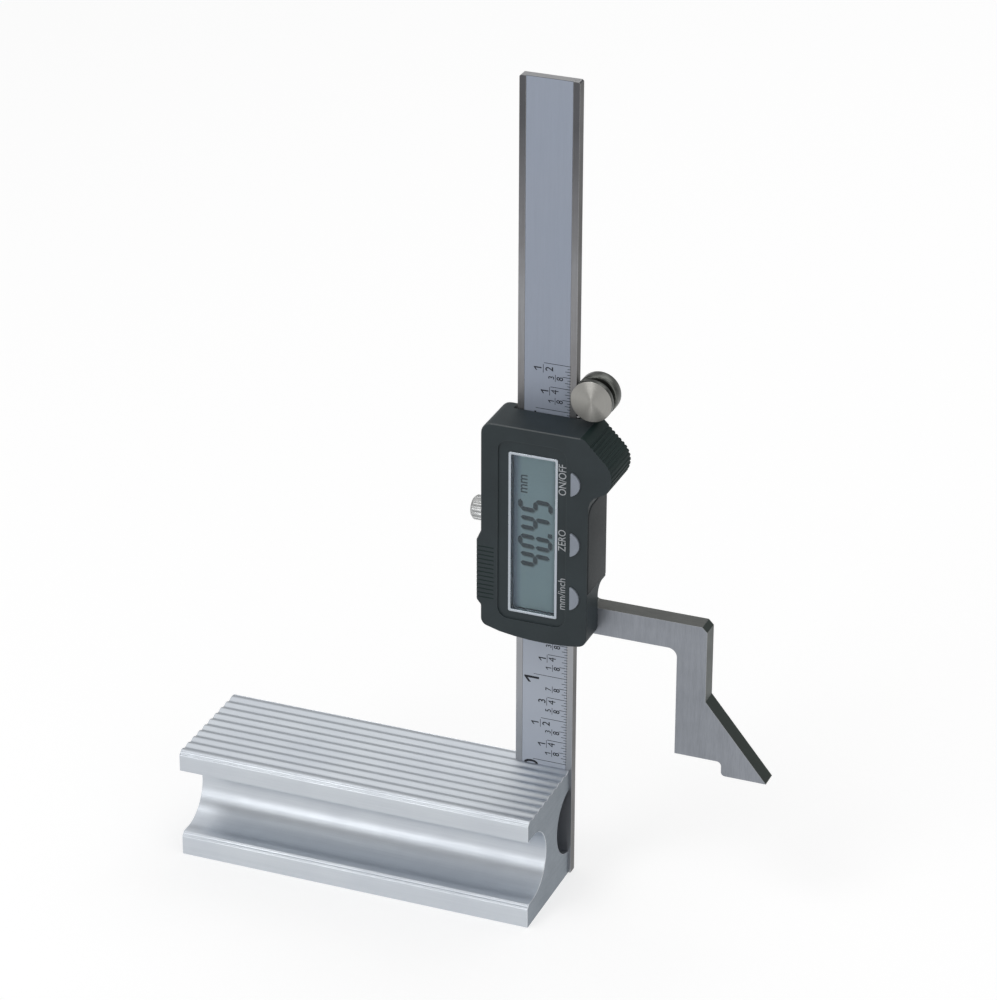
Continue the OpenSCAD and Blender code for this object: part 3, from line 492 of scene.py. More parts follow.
looks = {
    "anodisedBase": metal((198, 203, 208), 0.33, patch=(45.0, (186, 191, 199), 0.5, 0.06),
        grain=((60, 9000, 9000), (170, 176, 185), 0.3, 0.1, 0.004), wear=(0.25, (232, 234, 238), 0.5, 4.0)),
    "sawnEnd": metal((138, 146, 154), 0.45, bump=0.6, patch=(70.0, (126, 134, 141), 0.6, 0.05),
        grain=((300, 700, 9000), (118, 124, 131), 0.35, 0.1, 0.006), wear=(0.25, (228, 230, 234), 0.5, 4.0)),
    # the ground beam's colour ramps along Z are painted shading: darker towards its top and lighter towards
    # its foot
    "groundSteel": metal((148, 150, 154), 0.27, bump=0.4, patch=(60.0, (122, 120, 120), 0.6, 0.1),
        grain=((12000, 12000, 110), (108, 106, 106), 0.45, 0.12, 0.003),
        wear=(0.3, (190, 190, 190), 0.5, 4.0),
        fade=[("Z", 0.165, 0.21, (70, 70, 73), 0.85), ("Z", 0.14, 0.04, (160, 162, 166), 1.0)]),
    # painted shade: the beam's side faces get a darker tone of the same ground steel
    "beamSidePaintedShade": metal((118, 118, 118), 0.36, bump=0.4, patch=(60.0, (94, 93, 93), 0.6, 0.1),
        grain=((12000, 12000, 110), (86, 86, 86), 0.45, 0.12, 0.003), wear=(0.3, (170, 170, 170), 0.5, 4.0)),
    # the scale foil's colour ramp along Z is painted light: lighter towards its foot
    "scaleFoil": plain((158, 167, 183), 0.42, metallic=0.3, bump=0.3,
        patch=(35.0, (166, 173, 187), 0.5, 0.05),
        grain=((9000, 9000, 220), (142, 149, 163), 0.25, 0.08, 0.001),
        fade=[("Z", 0.14, 0.05, (184, 191, 203), 1.0)]),
    "brushedSteel": metal((146, 150, 157), 0.34, patch=(55.0, (135, 139, 145), 0.6, 0.08),
        grain=((6500, 6500, 420), (112, 115, 121), 0.36, 0.14, 0.005), wear=(0.3, (196, 198, 200), 0.6, 4.0)),
    # the milled grain is real, but the top, side and edge tones are painted shade and painted dark
    # reflection, one tone for each direction a face looks
    "milledTopPaintedShade": metal((107, 108, 106), 0.42, patch=(80.0, (94, 96, 94), 0.6, 0.08),
        grain=((900, 9000, 900), (78, 80, 79), 0.45, 0.12, 0.006)),
    "milledSidePaintedShade": metal((113, 117, 115), 0.4, patch=(80.0, (100, 104, 103), 0.6, 0.08),
        grain=((900, 9000, 900), (82, 85, 84), 0.4, 0.12, 0.006)),
    "milledEdgePaintedReflection": metal((68, 75, 72), 0.4, patch=(80.0, (64, 70, 67), 0.7, 0.1),
        grain=((900, 9000, 900), (58, 63, 61), 0.4, 0.15, 0.006), wear=(0.3, (170, 170, 168), 0.6, 4.0)),
    "plateSteel": metal((150, 151, 153), 0.3, bump=0.4, patch=(40.0, (128, 129, 132), 0.6, 0.1),
        grain=((7000, 7000, 160), (116, 117, 120), 0.45, 0.14, 0.004), wear=(0.3, (205, 205, 206), 0.6, 4.0)),
    "screwSteel": metal((170, 171, 173), 0.28, bump=0.3, patch=(400.0, (132, 132, 134), 0.6, 0.1),
        wear=(0.12, (216, 216, 216), 0.6, 4.0)),
    "darkScrew": metal((62, 62, 64), 0.42, bump=0.3, patch=(500.0, (40, 40, 42), 0.6, 0.1),
        wear=(0.1, (140, 140, 140), 0.6, 4.0)),
    "gibBronze": metal((186, 148, 84), 0.34, bump=0.3, patch=(120.0, (150, 116, 66), 0.6, 0.12),
        grain=((8000, 8000, 200), (140, 108, 60), 0.3, 0.1, 0.003)),
    "brightStrip": metal((205, 206, 208), 0.22, bump=0.3, patch=(150.0, (176, 176, 178), 0.5, 0.08),
        grain=((9000, 9000, 300), (160, 160, 162), 0.3, 0.1, 0.002)),
    # the shell's lighter edge colour is partly wear and partly a painted edge highlight
    "shellPlastic": plain((44, 54, 58), 0.46, specular=0.4, polish=0.22,
        patch=(50.0, (30, 38, 41), 0.6, 0.06), mould=(5200.0, 0.012), wear=(0.35, (78, 86, 88), 0.6, 3.0)),
    "gripPlastic": plain((32, 47, 46), 0.5, specular=0.18, patch=(50.0, (27, 40, 39), 0.6, 0.06),
        mould=(5200.0, 0.012)),
    "shellEdge": plain((44, 54, 57), 0.26, specular=0.75, patch=(50.0, (36, 45, 48), 0.6, 0.06),
        mould=(5200.0, 0.004)),
    # the lid's lighter edge colour is partly wear and partly a painted edge highlight on its rounded corner
    "lidPlastic": plain((37, 43, 46), 0.46, specular=0.3, bump=0.4, polish=0.2,
        patch=(50.0, (27, 32, 35), 0.6, 0.06), mould=(6500.0, 0.007), wear=(0.3, (84, 84, 85), 0.6, 3.0)),
    "trimSilver": plain((178, 185, 192), 0.26, metallic=0.9, bump=0.2,
        patch=(200.0, (168, 176, 188), 0.5, 0.05), wear=(0.15, (210, 216, 224), 0.5, 3.0)),
    "windowClear": plain((236, 244, 244), 0.02, clear=1.0, ior=1.25),
    # the display's colour ramps are a painted shadow of the recess walls: darker towards its left, right and
    # lower edges
    "displayGlass": plain((138, 153, 162), 0.22, specular=0.3, bump=0.1,
        patch=(70.0, (130, 145, 152), 0.6, 0.05), mould=(9000.0, 0.001),
        fade=[("X", 0.0393, 0.0379, (104, 112, 130), 0.9), ("X", 0.0472, 0.0484, (112, 122, 130), 0.6),
            ("Z", 0.0812, 0.0794, (106, 114, 124), 0.6)]),
    "displayInk": plain((74, 78, 86), 0.3, specular=0.2, patch=(300.0, (64, 68, 77), 0.6, 0.05)),
    # a painted shadow: the grey of the digits' shadow on the display
    "paintedDigitShadow": plain((112, 124, 132), 0.3, specular=0.2, patch=(300.0, (104, 116, 124), 0.6, 0.05)),
    "scaleInk": plain((38, 40, 46), 0.5, specular=0.3, patch=(900.0, (52, 54, 60), 0.6, 0.1)),
    "labelPaint": plain((196, 200, 204), 0.5, specular=0.3, patch=(900.0, (170, 174, 178), 0.6, 0.1)),
    "keyPlastic": plain((155, 163, 174), 0.4, specular=0.4, bump=0.3,
        patch=(220.0, (140, 146, 158), 0.6, 0.06), mould=(7000.0, 0.004),
        wear=(0.25, (172, 178, 188), 0.5, 3.0)),
    "spacerGrey": plain((92, 98, 108), 0.5, bump=0.3, patch=(200.0, (78, 84, 95), 0.6, 0.1)),
    "spacerBlack": plain((34, 37, 40), 0.5, bump=0.3, patch=(200.0, (26, 28, 31), 0.6, 0.1),
        mould=(6000.0, 0.006)),
    "zebraRubber": plain((190, 132, 142), 0.6, bump=0.3, patch=(300.0, (170, 112, 124), 0.6, 0.1),
        grain=((600, 600, 24000), (60, 48, 52), 0.6, 0.1, 0.002)),
    "boardGreen": plain((26, 92, 52), 0.34, coat=0.3, bump=0.3, patch=(160.0, (20, 72, 42), 0.7, 0.1),
        grain=((1500, 1500, 1500), (34, 110, 66), 0.35, 0.1, 0.004)),
    "sensorCopper": plain((184, 128, 70), 0.3, metallic=0.9, bump=0.3, patch=(160.0, (150, 98, 52), 0.6, 0.1),
        grain=((500, 500, 2600), (92, 96, 60), 0.5, 0.1, 0.01)),
    "contactGold": metal((214, 188, 122), 0.26, bump=0.2, patch=(400.0, (184, 158, 96), 0.5, 0.1)),
    "cellSteel": metal((196, 198, 200), 0.24, bump=0.3, patch=(300.0, (168, 170, 172), 0.5, 0.1),
        wear=(0.2, (226, 226, 226), 0.5, 3.0)),
    "rollerFace": metal((164, 163, 159), 0.36, bump=0.3, turn=0.25, aniso=0.9, tangent="Y",
        rings=(tuple(c * mm for c in rollerMid), 9000.0, (120, 118, 114), 0.4, 0.004)),
    # steel whose darker side tone and strong dark blotches are partly its own tone and partly painted dark
    # reflection
    "rollerSidePaintedReflection": metal((116, 118, 114), 0.2, bump=0.4, patch=(420.0, (58, 60, 58), 0.9, 0.12),
        grain=((300, 9000, 300), (60, 62, 60), 0.5, 0.12, 0.005), wear=(0.2, (190, 190, 186), 0.6, 4.0)),
    "knobSteel": metal((170, 172, 173), 0.2, bump=0.3, patch=(260.0, (160, 160, 158), 0.6, 0.1),
        grain=((9000, 300, 300), (150, 150, 148), 0.3, 0.1, 0.003), wear=(0.12, (232, 232, 230), 0.6, 4.0)),
    "axleSteel": metal((150, 150, 150), 0.26, bump=0.3, patch=(300.0, (120, 120, 120), 0.6, 0.1),
        wear=(0.12, (206, 206, 206), 0.6, 4.0)),
}
finish = {name: surface(name, look) for name, look in looks.items()}


# geometry node trees
def newTree(name, ins):
    shape = ("Geometry", "NodeSocketGeometry")
    return newGroup(name, "GeometryNodeTree", [shape] + ins + [("Material", "NodeSocketMaterial")], [shape])


def vectorOf(tree, x=0.0, y=0.0, z=0.0):
    return node(tree, "ShaderNodeCombineXYZ", {"X": x, "Y": y, "Z": z}).outputs["Vector"]


def finishTree(tree, into, out, **inputs):
    # puts a shape on every point, makes the copies real and gives them their material
    place = node(tree, "GeometryNodeInstanceOnPoints", inputs).outputs["Instances"]
    real = node(tree, "GeometryNodeRealizeInstances", {"Geometry": place}).outputs["Geometry"]
    paint = node(tree, "GeometryNodeSetMaterial", {"Geometry": real, "Material": into["Material"]})
    feed(tree, out["Geometry"], paint.outputs["Geometry"])
    return tree


def runTree(piece, tree, values):
    # sets the named inputs by their identifiers and bakes the result
    modifier = piece.modifiers.new(tree.name, "NODES")
    modifier.node_group = tree
    for item in tree.interface.items_tree:
        if item.item_type == "SOCKET" and item.in_out == "INPUT" and item.name in values:
            modifier[item.identifier] = values[item.name]
    return bake(piece)


tickClasses = ["Inch", "Half", "Quarter", "Eighth", "Sixteenth", "Thirty second"]


def buildScaleTicks():
    sizes = [(label + " length", floatKind) for label in tickClasses]
    tree, into, out = newTree("scaleTicks", [("Count", "NodeSocketInt"), ("Pitch", floatKind),
        ("Start", vectorKind), ("Line width", floatKind), ("Line depth", floatKind)] + sizes)
    step = vectorOf(tree, z=into["Pitch"])
    row = node(tree, "GeometryNodeMeshLine", {"Count": into["Count"], "Start Location": into["Start"],
        "Offset": step}, mode="OFFSET", count_mode="TOTAL")
    index = node(tree, "GeometryNodeInputIndex").outputs["Index"]
    length = into["Thirty second length"]
    for k, label in enumerate(tickClasses[-2::-1]):
        # every second line, then every fourth and so on is of a longer class
        isOne = calc(tree, "LESS_THAN", calc(tree, "MODULO", index, 2.0 ** (k + 1)), 0.5)
        length = node(tree, "ShaderNodeMix", {0: isOne, 2: length, 3: into[label + " length"]}).outputs[0]
    back = vectorOf(tree, x=calc(tree, "MULTIPLY", length, -0.5))
    moved = node(tree, "GeometryNodeSetPosition", {"Geometry": row.outputs["Mesh"], "Offset": back})
    cube = node(tree, "GeometryNodeMeshCube", {"Size": (1, 1, 1)})
    size = vectorOf(tree, length, into["Line depth"], into["Line width"])
    return finishTree(tree, into, out, Points=moved.outputs["Geometry"], Instance=cube.outputs["Mesh"],
        Scale=size)


def buildRodRow():
    # round rods spaced along a path, to cut the grooves of the two grips
    tree, into, out = newTree("rodRow", [("Pitch", floatKind), ("Radius", floatKind), ("Length", floatKind),
        ("Turn", vectorKind), ("Sides", "NodeSocketInt")])
    path = node(tree, "GeometryNodeMeshToCurve", {"Mesh": into["Geometry"]}).outputs["Curve"]
    spaced = node(tree, "GeometryNodeResampleCurve", {"Curve": path, "Length": into["Pitch"]}, mode="LENGTH")
    rod = node(tree, "GeometryNodeMeshCylinder", {"Vertices": into["Sides"], "Radius": into["Radius"],
        "Depth": into["Length"]}, fill_type="NGON")
    turn = node(tree, "FunctionNodeEulerToRotation", {"Euler": into["Turn"]}).outputs["Rotation"]
    return finishTree(tree, into, out, Points=spaced.outputs["Curve"], Instance=rod.outputs["Mesh"],
        Rotation=turn)


def pathObject(name, points):
    return solidFrom(name, points, [], edges=[(i, i + 1) for i in range(len(points) - 1)])


scaleTicks = buildScaleTicks()
rodRow = buildRodRow()

print("base block")
extrusion = {"half": 49.5, "deep": 17.1, "top": 31.55, "fingerR": 9.5, "fingerY": 13.45, "fingerZ": 16.2,
    "chamfer": 1.3, "backChamfer": 0.45, "pitch": 3.4, "crest": 15.3, "ribDepth": 0.52, "bead": 0.13,
    "corner": 0.12, "foot": 0.3, "soften": 0.12, "notch": (34.3, 12.5)}
e = SimpleNamespace(**extrusion)


def beadedChamfer(y, z):
    # two low beads with a fine groove between them, from the front face up to the level z
    c = e.chamfer
    out = []
    for k in range(13):
        t = k / 12
        lift = e.bead * abs(math.sin(2 * math.pi * t)) * math.sqrt(0.5)
        out.append((y + c * t - lift, z - c + c * t + lift))
    return out


def extrusionProfile():
    low = e.fingerZ - e.fingerR
    high = e.fingerZ + e.fingerR
    k = e.corner
    front = arc(-e.deep + k, high + k, k, 270, 180, 3)
    front = arc(-e.fingerY, e.fingerZ, e.fingerR, -90, 90, 40) + front
    half = [(-e.deep, e.foot), (-e.deep + e.foot, 0)]
    side = beadedChamfer(-e.deep, low)
    back = [(-y, z) for y, z in front + [(-e.deep, e.top - e.backChamfer)]]
    back = [(-y, z) for y, z in half[::-1] + side] + back
    back.append((e.deep - e.backChamfer, e.top - 0.02))
    ribs = []
    y = e.deep - e.backChamfer - 0.1
    while y > -e.deep + e.chamfer + 0.08:
        wave = 0.5 - 0.5 * math.cos(2 * math.pi * (y + e.crest) / e.pitch)
        edge = 1.0 if y < e.crest else 0.3
        ribs.append((y, e.top - e.ribDepth * wave * edge))
        y -= e.pitch / 14
    rest = beadedChamfer(-e.deep, e.top)[::-1] + front[::-1] + side[::-1] + half
    return back + ribs + rest


ends = [(e.half, e.soften), (e.half - e.soften, 0)]
stations = [(-x, by) for x, by in ends] + ends[::-1]
base = prism("extrudedBase", extrusionProfile(), stations, "anodisedBase", alongX=True)
notchX, notchY = e.notch
carve(base, [boxPiece("beamSeat", (notchX, notchY, -1), (60, 30, 40))])
paintFaces(base, "sawnEnd", lambda n, c: abs(n.x) > 0.9)
smooth(base, 34)
settle(base, "stand", "anodised_base", "base_block")

print("beam")
beam = cleanCopy("groundBeam", "beam", "groundSteel")
roundEdges(beam, 0.14)
# the beam's side faces take the darker steel, as painted shade
paintFaces(beam, "beamSidePaintedShade", lambda n, c: abs(n.x) > 0.75)
paintFaces(beam, "brightStrip", lambda n, c: n.z > 0.75 and c.z > 222)
settle(beam, "stand", "beam_steel", "beam")
dress("scaleBacking", "scale_strip", "stand", "scale_face", "scaleFoil", 0.04, 2)
dress("footScrews", "beam_screws", "stand", "screw_steel", "screwSteel", 0.06, 2)
dress("stopScrew", "end_stop_screw", "stand", "screw_steel", "screwSteel", 0.08, 2)

print("scale print")
# the numeral one with its flag, in text right and text up
oneOutline = [(0.2, 0.0), (0.32, 0.0), (0.32, 0.7), (0.24, 0.7), (-0.04, 0.5), (-0.04, 0.38), (0.2, 0.54)]
oneStem = 0.3


def textPiece(name, words, weight):
    if words == "1":
        mesh = bpy.data.meshes.new(name)
        mesh.from_pydata([(u, v, 0) for u, v in oneOutline], [], [tuple(range(len(oneOutline)))])
        return addObject(name, mesh)
    curve = bpy.data.curves.new(name, "FONT")
    curve.body = words
    curve.align_x = "CENTER"
    curve.resolution_u = 3
    # a heavier four loses its opening
    curve.offset = 0.0 if "4" in words else weight
    piece = bpy.data.objects.new(name, curve)
    collection.objects.link(piece)
    graph = bpy.context.evaluated_depsgraph_get()
    mesh = bpy.data.meshes.new_from_object(piece.evaluated_get(graph))
    bpy.data.objects.remove(piece)
    return addObject(name, mesh)


def upright(name, words, area, y, look, weight=0.012):
    # flat words that read upwards along the beam: text right is +Z and text up is -X. The area is
    # (top, foot, low, high); with no high end the words stay narrow, with their middle at the low one
    top, foot, low, high = area
    piece = textPiece(name, words, weight)
    piece.data.materials.clear()
    piece.data.materials.append(finish[look])
    spots = [v.co.copy() for v in piece.data.vertices]
    u0 = min(p.x for p in spots)
    u1 = max(p.x for p in spots)
    v0 = min(p.y for p in spots)
    v1 = max(p.y for p in spots)
    up = (foot - top) / (v1 - v0)
    if high is None:
        side = up * 0.9
        low -= side * (oneStem if words == "1" else (u1 - u0) / 2)
    else:
        side = (high - low) / (u1 - u0)
    for v, p in zip(piece.data.vertices, spots):
        v.co = Vector((foot - (p.y - v0) * up, y, low + (p.x - u0) * side)) * mm
    piece.data.update()
    return piece


scale = {"zero": 32.83, "inch": 25.4, "right": 48.62, "starts": (39.3, 41.45, 43.2, 46.4, 47.1, 47.75),
    "line": 0.15, "count": 145, "proud": 0.012, "bar": 0.07, "eighths": 37}
p = SimpleNamespace(**scale)
stripLow = corners("scale_strip")[0]
faceY = stripLow[1]
inkY = faceY - p.proud
tickValues = {"Count": p.count, "Pitch": p.inch / 32 * mm,
    "Start": (p.right * mm, (faceY - p.proud / 2) * mm, p.zero * mm),
    "Line width": p.line * mm, "Line depth": p.proud * mm, "Material": finish["scaleInk"]}
for label, start in zip(tickClasses, p.starts):
    tickValues[label + " length"] = (p.right - start) * mm
prints = [runTree(pathObject("ticks", [(0, 0, 0), (0, 0, 1)]), scaleTicks, tickValues)]
# whole inches, then fractions by the number below their bar; heights are measured from the line
whole = {"place": (36.7, 40.8), "span": (2.83, 0.33), "lower": 0.55, "one": 1.1}
fractions = {
    2: {"top": (38.7, 40.8), "bar": 41.25, "barZ": (-2.75, -0.45), "foot": (41.8, 43.9), "middle": -1.5},
    4: {"top": (40.6, 42.7), "bar": 43.0, "barZ": (-2.4, -0.1), "foot": (43.35, 45.4), "middle": -1.25},
    8: {"top": (42.6, 44.2), "bar": 44.5, "barZ": (-1.6, 0.35), "foot": (44.8, 46.6), "middle": -0.62},
}
for eighth in range(p.eighths):
    line = p.zero + eighth * p.inch / 8
    inches, part = divmod(eighth, 8)
    if part == 0:
        lower = whole["lower"] if inches else 0
        ends = (line - whole["one"], None)
        if inches != 1:
            ends = tuple(line - way - lower for way in whole["span"])
        prints.append(upright("numeral", str(inches), whole["place"] + ends, inkY, "scaleInk"))
        continue
    below = 8 // math.gcd(part, 8)
    place = fractions[below]
    ends = (line + place["middle"], None)
    prints.append(upright("numeral", str(part * below // 8), place["top"] + ends, inkY, "scaleInk"))
    prints.append(upright("numeral", str(below), place["foot"] + ends, inkY, "scaleInk"))
    low, high = place["barZ"]
    prints.append(boxPiece("bar", (place["bar"] - p.bar, inkY, line + low),
        (place["bar"] + p.bar, faceY, line + high), "scaleInk"))
scalePrint = join("scalePrint", prints)


def cutFoot(work):
    # the zero is partly hidden where the strip ends at the base
    bmesh.ops.bisect_plane(work, geom=work.verts[:] + work.edges[:] + work.faces[:],
        plane_co=(0, 0, (stripLow[2] + 0.02) * mm), plane_no=(0, 0, -1), clear_outer=True)


reshape(scalePrint.data, cutFoot)
settle(scalePrint, "stand", "scale_face")

print("frame and arm")
arm = cleanCopy("armAndFrame", "slider_frame", "brushedSteel")
roundEdges(arm, 0.16)
# painted shade and painted dark reflection: faces of the arm and frame that don't look to the front or back
# get darker tones by their direction
paintFaces(arm, "milledEdgePaintedReflection", lambda n, c: abs(n.y) < 0.75)
paintFaces(arm, "milledTopPaintedShade", lambda n, c: n.z > 0.9)
paintFaces(arm, "milledSidePaintedShade", lambda n, c: n.x > 0.9)
settle(arm, "slider", "frame_steel", "slider_frame")
dress("rearPlate", "back_plate", "slider", "plate_steel", "plateSteel", 0.16)
dress("rearScrews", "back_plate_screws", "slider", "screw_steel", "screwSteel", 0.05, 2)
dress("caseScrews", "housing_screws", "slider", "screw_steel", "screwSteel", 0.05, 2)
dress("gibScrews", "gib_screws", "slider", "dark_screw", "darkScrew", 0.05, 2)
dress("wearStrip", "wear_strip", "slider", "spring_steel", "brightStrip", 0.08, 2)

print("housing")
shell = {"left": 28.8, "right": 57.7, "low": 73.9, "high": 133.4, "front": 1.5, "back": 15.2,
    "edge": 0.35, "bellyX": 45.562, "bellyR": 66.0, "gripX": 57.8, "gripZ": 123.2, "gripR": 6.2,
    "restOut": 1.2, "restLow": 81.7, "restHigh": 102.9, "wall": 1.2, "frontWall": 1.3, "floor": 3.2,
    "grooveR": 0.32, "fineR": 0.24, "groovePitch": 1.15, "soften": 0.07, "panel": 0.4,
    "panelEdge": (2.8, 2.2, 2.35, 3.1), "panelCorner": 3.0, "fit": (0.05, 0.05, 0.05, 0.05), "gripWall": 1.6,
    "keyGap": 0.12, "lidGap": 0.1, "lockHole": 2.35, "notchX": 55.25, "notchY": 9.78, "notchZ": 89.15,
    "notchR": 3.0}
s = SimpleNamespace(**shell)


def bellyZ(x):
    return s.low + s.bellyR - math.sqrt(s.bellyR ** 2 - (x - s.bellyX) ** 2)


# the front outline, counterclockwise from the lower left corner, as (x, z, corner radius)
reach = s.gripR * math.sqrt(2)
restX = s.left - s.restOut
keyPoints = [(s.left, bellyZ(s.left) + 0.3, 2.2)]
keyPoints += [(x, bellyZ(x), 0) for x in (34, 38, 42, 46, 50, 53)]
keyPoints += [(s.right, bellyZ(s.right), 2.6),
    (s.right, s.gripZ + s.right - s.gripX - reach, 0.8), (s.right + 0.5, 116.1, 1.2),
    (s.right + 1.5, 117.3, 1.2), (s.right + 3.4, 118.35, 0)]
keyPoints += [(x, z, 0) for x, z in arc(s.gripX, s.gripZ, s.gripR, -45, 45, 16)]
keyPoints += [(s.gripZ + s.gripX + reach - s.high, s.high, 2.2), (s.left, s.high, 3.0),
    (s.left, s.restHigh, 1.2), (restX, s.restHigh - 2.25 * s.restOut, 1.2),
    (restX, s.restLow + 1.25 * s.restOut, 1.2), (s.left, s.restLow, 0.8)]
stations = []
for i in range(8):
    t = math.radians(90 * (7 - i) / 7)
    stations.append((s.front + s.edge * (1 - math.sin(t)), s.edge * (1 - math.cos(t))))
stations.append((s.back, 0))
body = prism("frontShell", roundedOutline(keyPoints, 7), stations, "shellPlastic")

trimLow, trimHigh = corners("lcd_trim")
windowLow, windowHigh = corners("lcd_window")
beamLow, beamHigh = corners("beam")
lidLow, lidHigh = corners("battery_lid")
cellLow, cellHigh = corners("battery")
over = 1.0
innerY = s.front + s.frontWall
innerX = s.right - s.wall
behind = s.back + over
keyNodes = ["button_on_off", "button_zero", "button_units"]


def around(low, high, margins, r, steps=6):
    # a round cornered outline with margins on the left, below, on the right and above
    left, below, right, above = margins
    return boxOutline(low[0] - left, low[2] - below, high[0] + right, high[2] + above, r, steps)


cutters = [
    extrudeY("panel", around(trimLow, trimHigh, s.panelEdge, s.panelCorner, 8), s.front - over,
        s.front + s.panel),
    extrudeY("rebate", around(trimLow, trimHigh, s.fit, 0.55), s.front - over, trimHigh[1] + s.fit[0]),
    extrudeY("opening", around(windowLow, windowHigh, s.fit, 0.35), s.front - over, innerY + over),
    boxPiece("hollow", (s.left + s.wall, innerY, s.low + s.floor), (innerX, behind, s.high - s.wall)),
    extrudeY("gripHollow", arc(s.gripX, s.gripZ, s.gripR - s.gripWall, 0, 354, 59), innerY + 1.2, behind),
    boxPiece("footOpening", (s.left + s.wall, s.notchY, s.low - over),
        (innerX, behind, s.low + s.floor + over)),
    boxPiece("beamSlot", (beamLow[0] - 0.99, beamLow[1] - 0.35, s.high - s.wall - over),
        (beamHigh[0] + 1.14, behind, s.high + over)),
]
# the recess that clears the arm, with its hollow corner
notchOutline = [(s.notchY, s.low - over), (behind, s.low - over), (behind, s.notchZ)]
notchOutline += arc(s.notchY + s.notchR, s.notchZ - s.notchR, s.notchR, 90, 180, 10)
cutters.append(prism("armNotch", notchOutline, [(s.notchX, 0), (s.right + over, 0)], alongX=True))
# the seat of the lid, the door behind it and the lock screw's hole
lidFront = s.front + 0.3
lidCorner = 2.9
gap = s.lidGap
lidOutline = [(lidFront - gap, lidLow[2] - gap), (behind, lidLow[2] - gap), (behind, lidHigh[2] + gap)]
lidOutline += arc(lidFront + lidCorner, lidHigh[2] - lidCorner, 3.0, 90, 180, 8)
cutters.append(prism("lidSeat", lidOutline, [(innerX, 0), (s.right + over, 0)], alongX=True))
cutters.append(boxPiece("cellDoor", (innerX - over, cellLow[1] - 0.2, cellLow[2] - 0.2),
    (s.right + over, cellHigh[1] + 0.1, cellHigh[2] + 0.2)))
knobMid = [(a + b) / 2 for a, b in zip(*corners("lock_screw"))]
hole = s.lockHole
cutters.append(lathe("lockHole", [(0, -over), (hole, -over), (hole, 6), (0, 6)],
    (restX - over, knobMid[1], knobMid[2]), "x", 32))


def keyOutline(source, grow):
    # flat on the left and round on the right, as the keys are
    low, high = corners(source)
    middle = (low[2] + high[2]) / 2
    half, wide = 3.25, 2.5
    r = (half ** 2 + wide ** 2) / (2 * wide)
    left = low[0] + 0.45
    out = [(x, z) for x, z in arc(left + wide - r, middle, r + grow, -90, 90, 40) if x > left - grow]
    top = math.sqrt((r + grow) ** 2 - (left - grow - (left + wide - r)) ** 2)
    return [(left - grow, middle - top)] + out + [(left - grow, middle + top)]


def grooveRods(name, path, radius, length, turn):
    return runTree(pathObject(name, path), rodRow, {"Pitch": s.groovePitch * mm, "Radius": radius * mm,
        "Length": length * mm, "Turn": turn, "Sides": 12, "Material": finish["shellPlastic"]})


for source in keyNodes:
    cutters.append(extrudeY("keyHole", keyOutline(source, s.keyGap), s.front - over, innerY + over))
# grooves round the thumb grip and across the finger rest
depth = s.back - s.front + 2 * over
middleY = (s.front + s.back) / 2
grooveLine = s.gripR + 0.06
away = grooveLine * math.sqrt(0.5)
gripPath = [(s.gripX + away - 3.5, s.gripZ - away - 3.5)]
gripPath += arc(s.gripX, s.gripZ, grooveLine, -45, 45, 24)
gripPath += [(s.gripX + away - 3.9, s.gripZ + away + 3.9)]
lengthwise = (math.pi / 2, 0, 0)
rest = (s.restLow + 2.4, s.restHigh - 4.4)
cutters.append(grooveRods("gripRods", [(x, middleY, z) for x, z in gripPath], s.grooveR, depth, lengthwise))
cutters.append(grooveRods("sideRods", [(restX - 0.08, middleY, z) for z in rest], s.fineR, depth, lengthwise))
cutters.append(grooveRods("frontRods", [(s.left + 0.6, s.front - 0.15, z) for z in rest], s.fineR, 6.0,
    (0, math.pi / 2, 0)))
carve(body, cutters)
roundEdges(body, s.soften, 2, 42)


def onPanel(c):
    return trimLow[0] - 3 < c.x < trimHigh[0] + 2.6 and trimLow[2] - 2.5 < c.z < trimHigh[2] + 3.3


def onRim(n, c):
    inFront = c.y < s.front + s.edge and c.x < 51.5 and not onPanel(c)
    return inFront and -0.98 < n.y < -0.15 and n.z > -0.2


def onGrips(n, c):
    onThumb = c.x > s.gripX - 3 and c.z > 115.5 and abs(n.y) < 0.7
    onRest = c.x < s.left + 4 and s.restLow + 1.9 < c.z < s.restHigh - 3.9 and abs(n.z) > 0.05
    return onThumb or onRest


paintFaces(body, "shellEdge", onRim)
paintFaces(body, "gripPlastic", onGrips)
settle(body, "slider", "housing_plastic", "front_housing")

print("lid, display and keys")
lidEdge = 0.45
# the lid, with its round top corner, and two tongues beside the cell
lidPlate = [(lidFront, lidLow[2]), (s.back, lidLow[2]), (s.back, lidHigh[2])]
lidPlate += arc(lidFront + lidCorner, lidHigh[2] - lidCorner, lidCorner, 90, 180, 12)
stations = [(innerX + 0.05, 0)]
for k in range(6):
    t = math.radians(90 * k / 5)
    stations.append((lidHigh[0] - lidEdge * (1 - math.sin(t)), lidEdge * (1 - math.cos(t))))
parts = [prism("cellLid", lidPlate, stations, "lidPlastic", alongX=True)]
for y0, y1 in [(cellLow[1], cellLow[1] + 1.2), (cellHigh[1] - 1.4, cellHigh[1] - 0.2)]:
    parts.append(boxPiece("tongue", (lidLow[0], y0, cellLow[2] + 1.3), (innerX + 0.1, y1, cellHigh[2] - 1.3),
        "lidPlastic"))
lid = join("cellLid", parts)
smooth(lid, 40)
settle(lid, "lid", "lid_plastic", "battery_lid")
dress("displayTrim", "lcd_trim", "slider", "trim_silver", "trimSilver", 0.13)
dress("displayWindow", "lcd_window", "slider", "window_clear", "windowClear", 0.06, 2)
dress("displaySpacer", "lcd_spacer", "slider", "switch_black", "spacerGrey", 0.05, 2)
dress("displayPanel", "lcd_panel", "slider", "lcd_grey", "displayGlass", 0.05, 2)
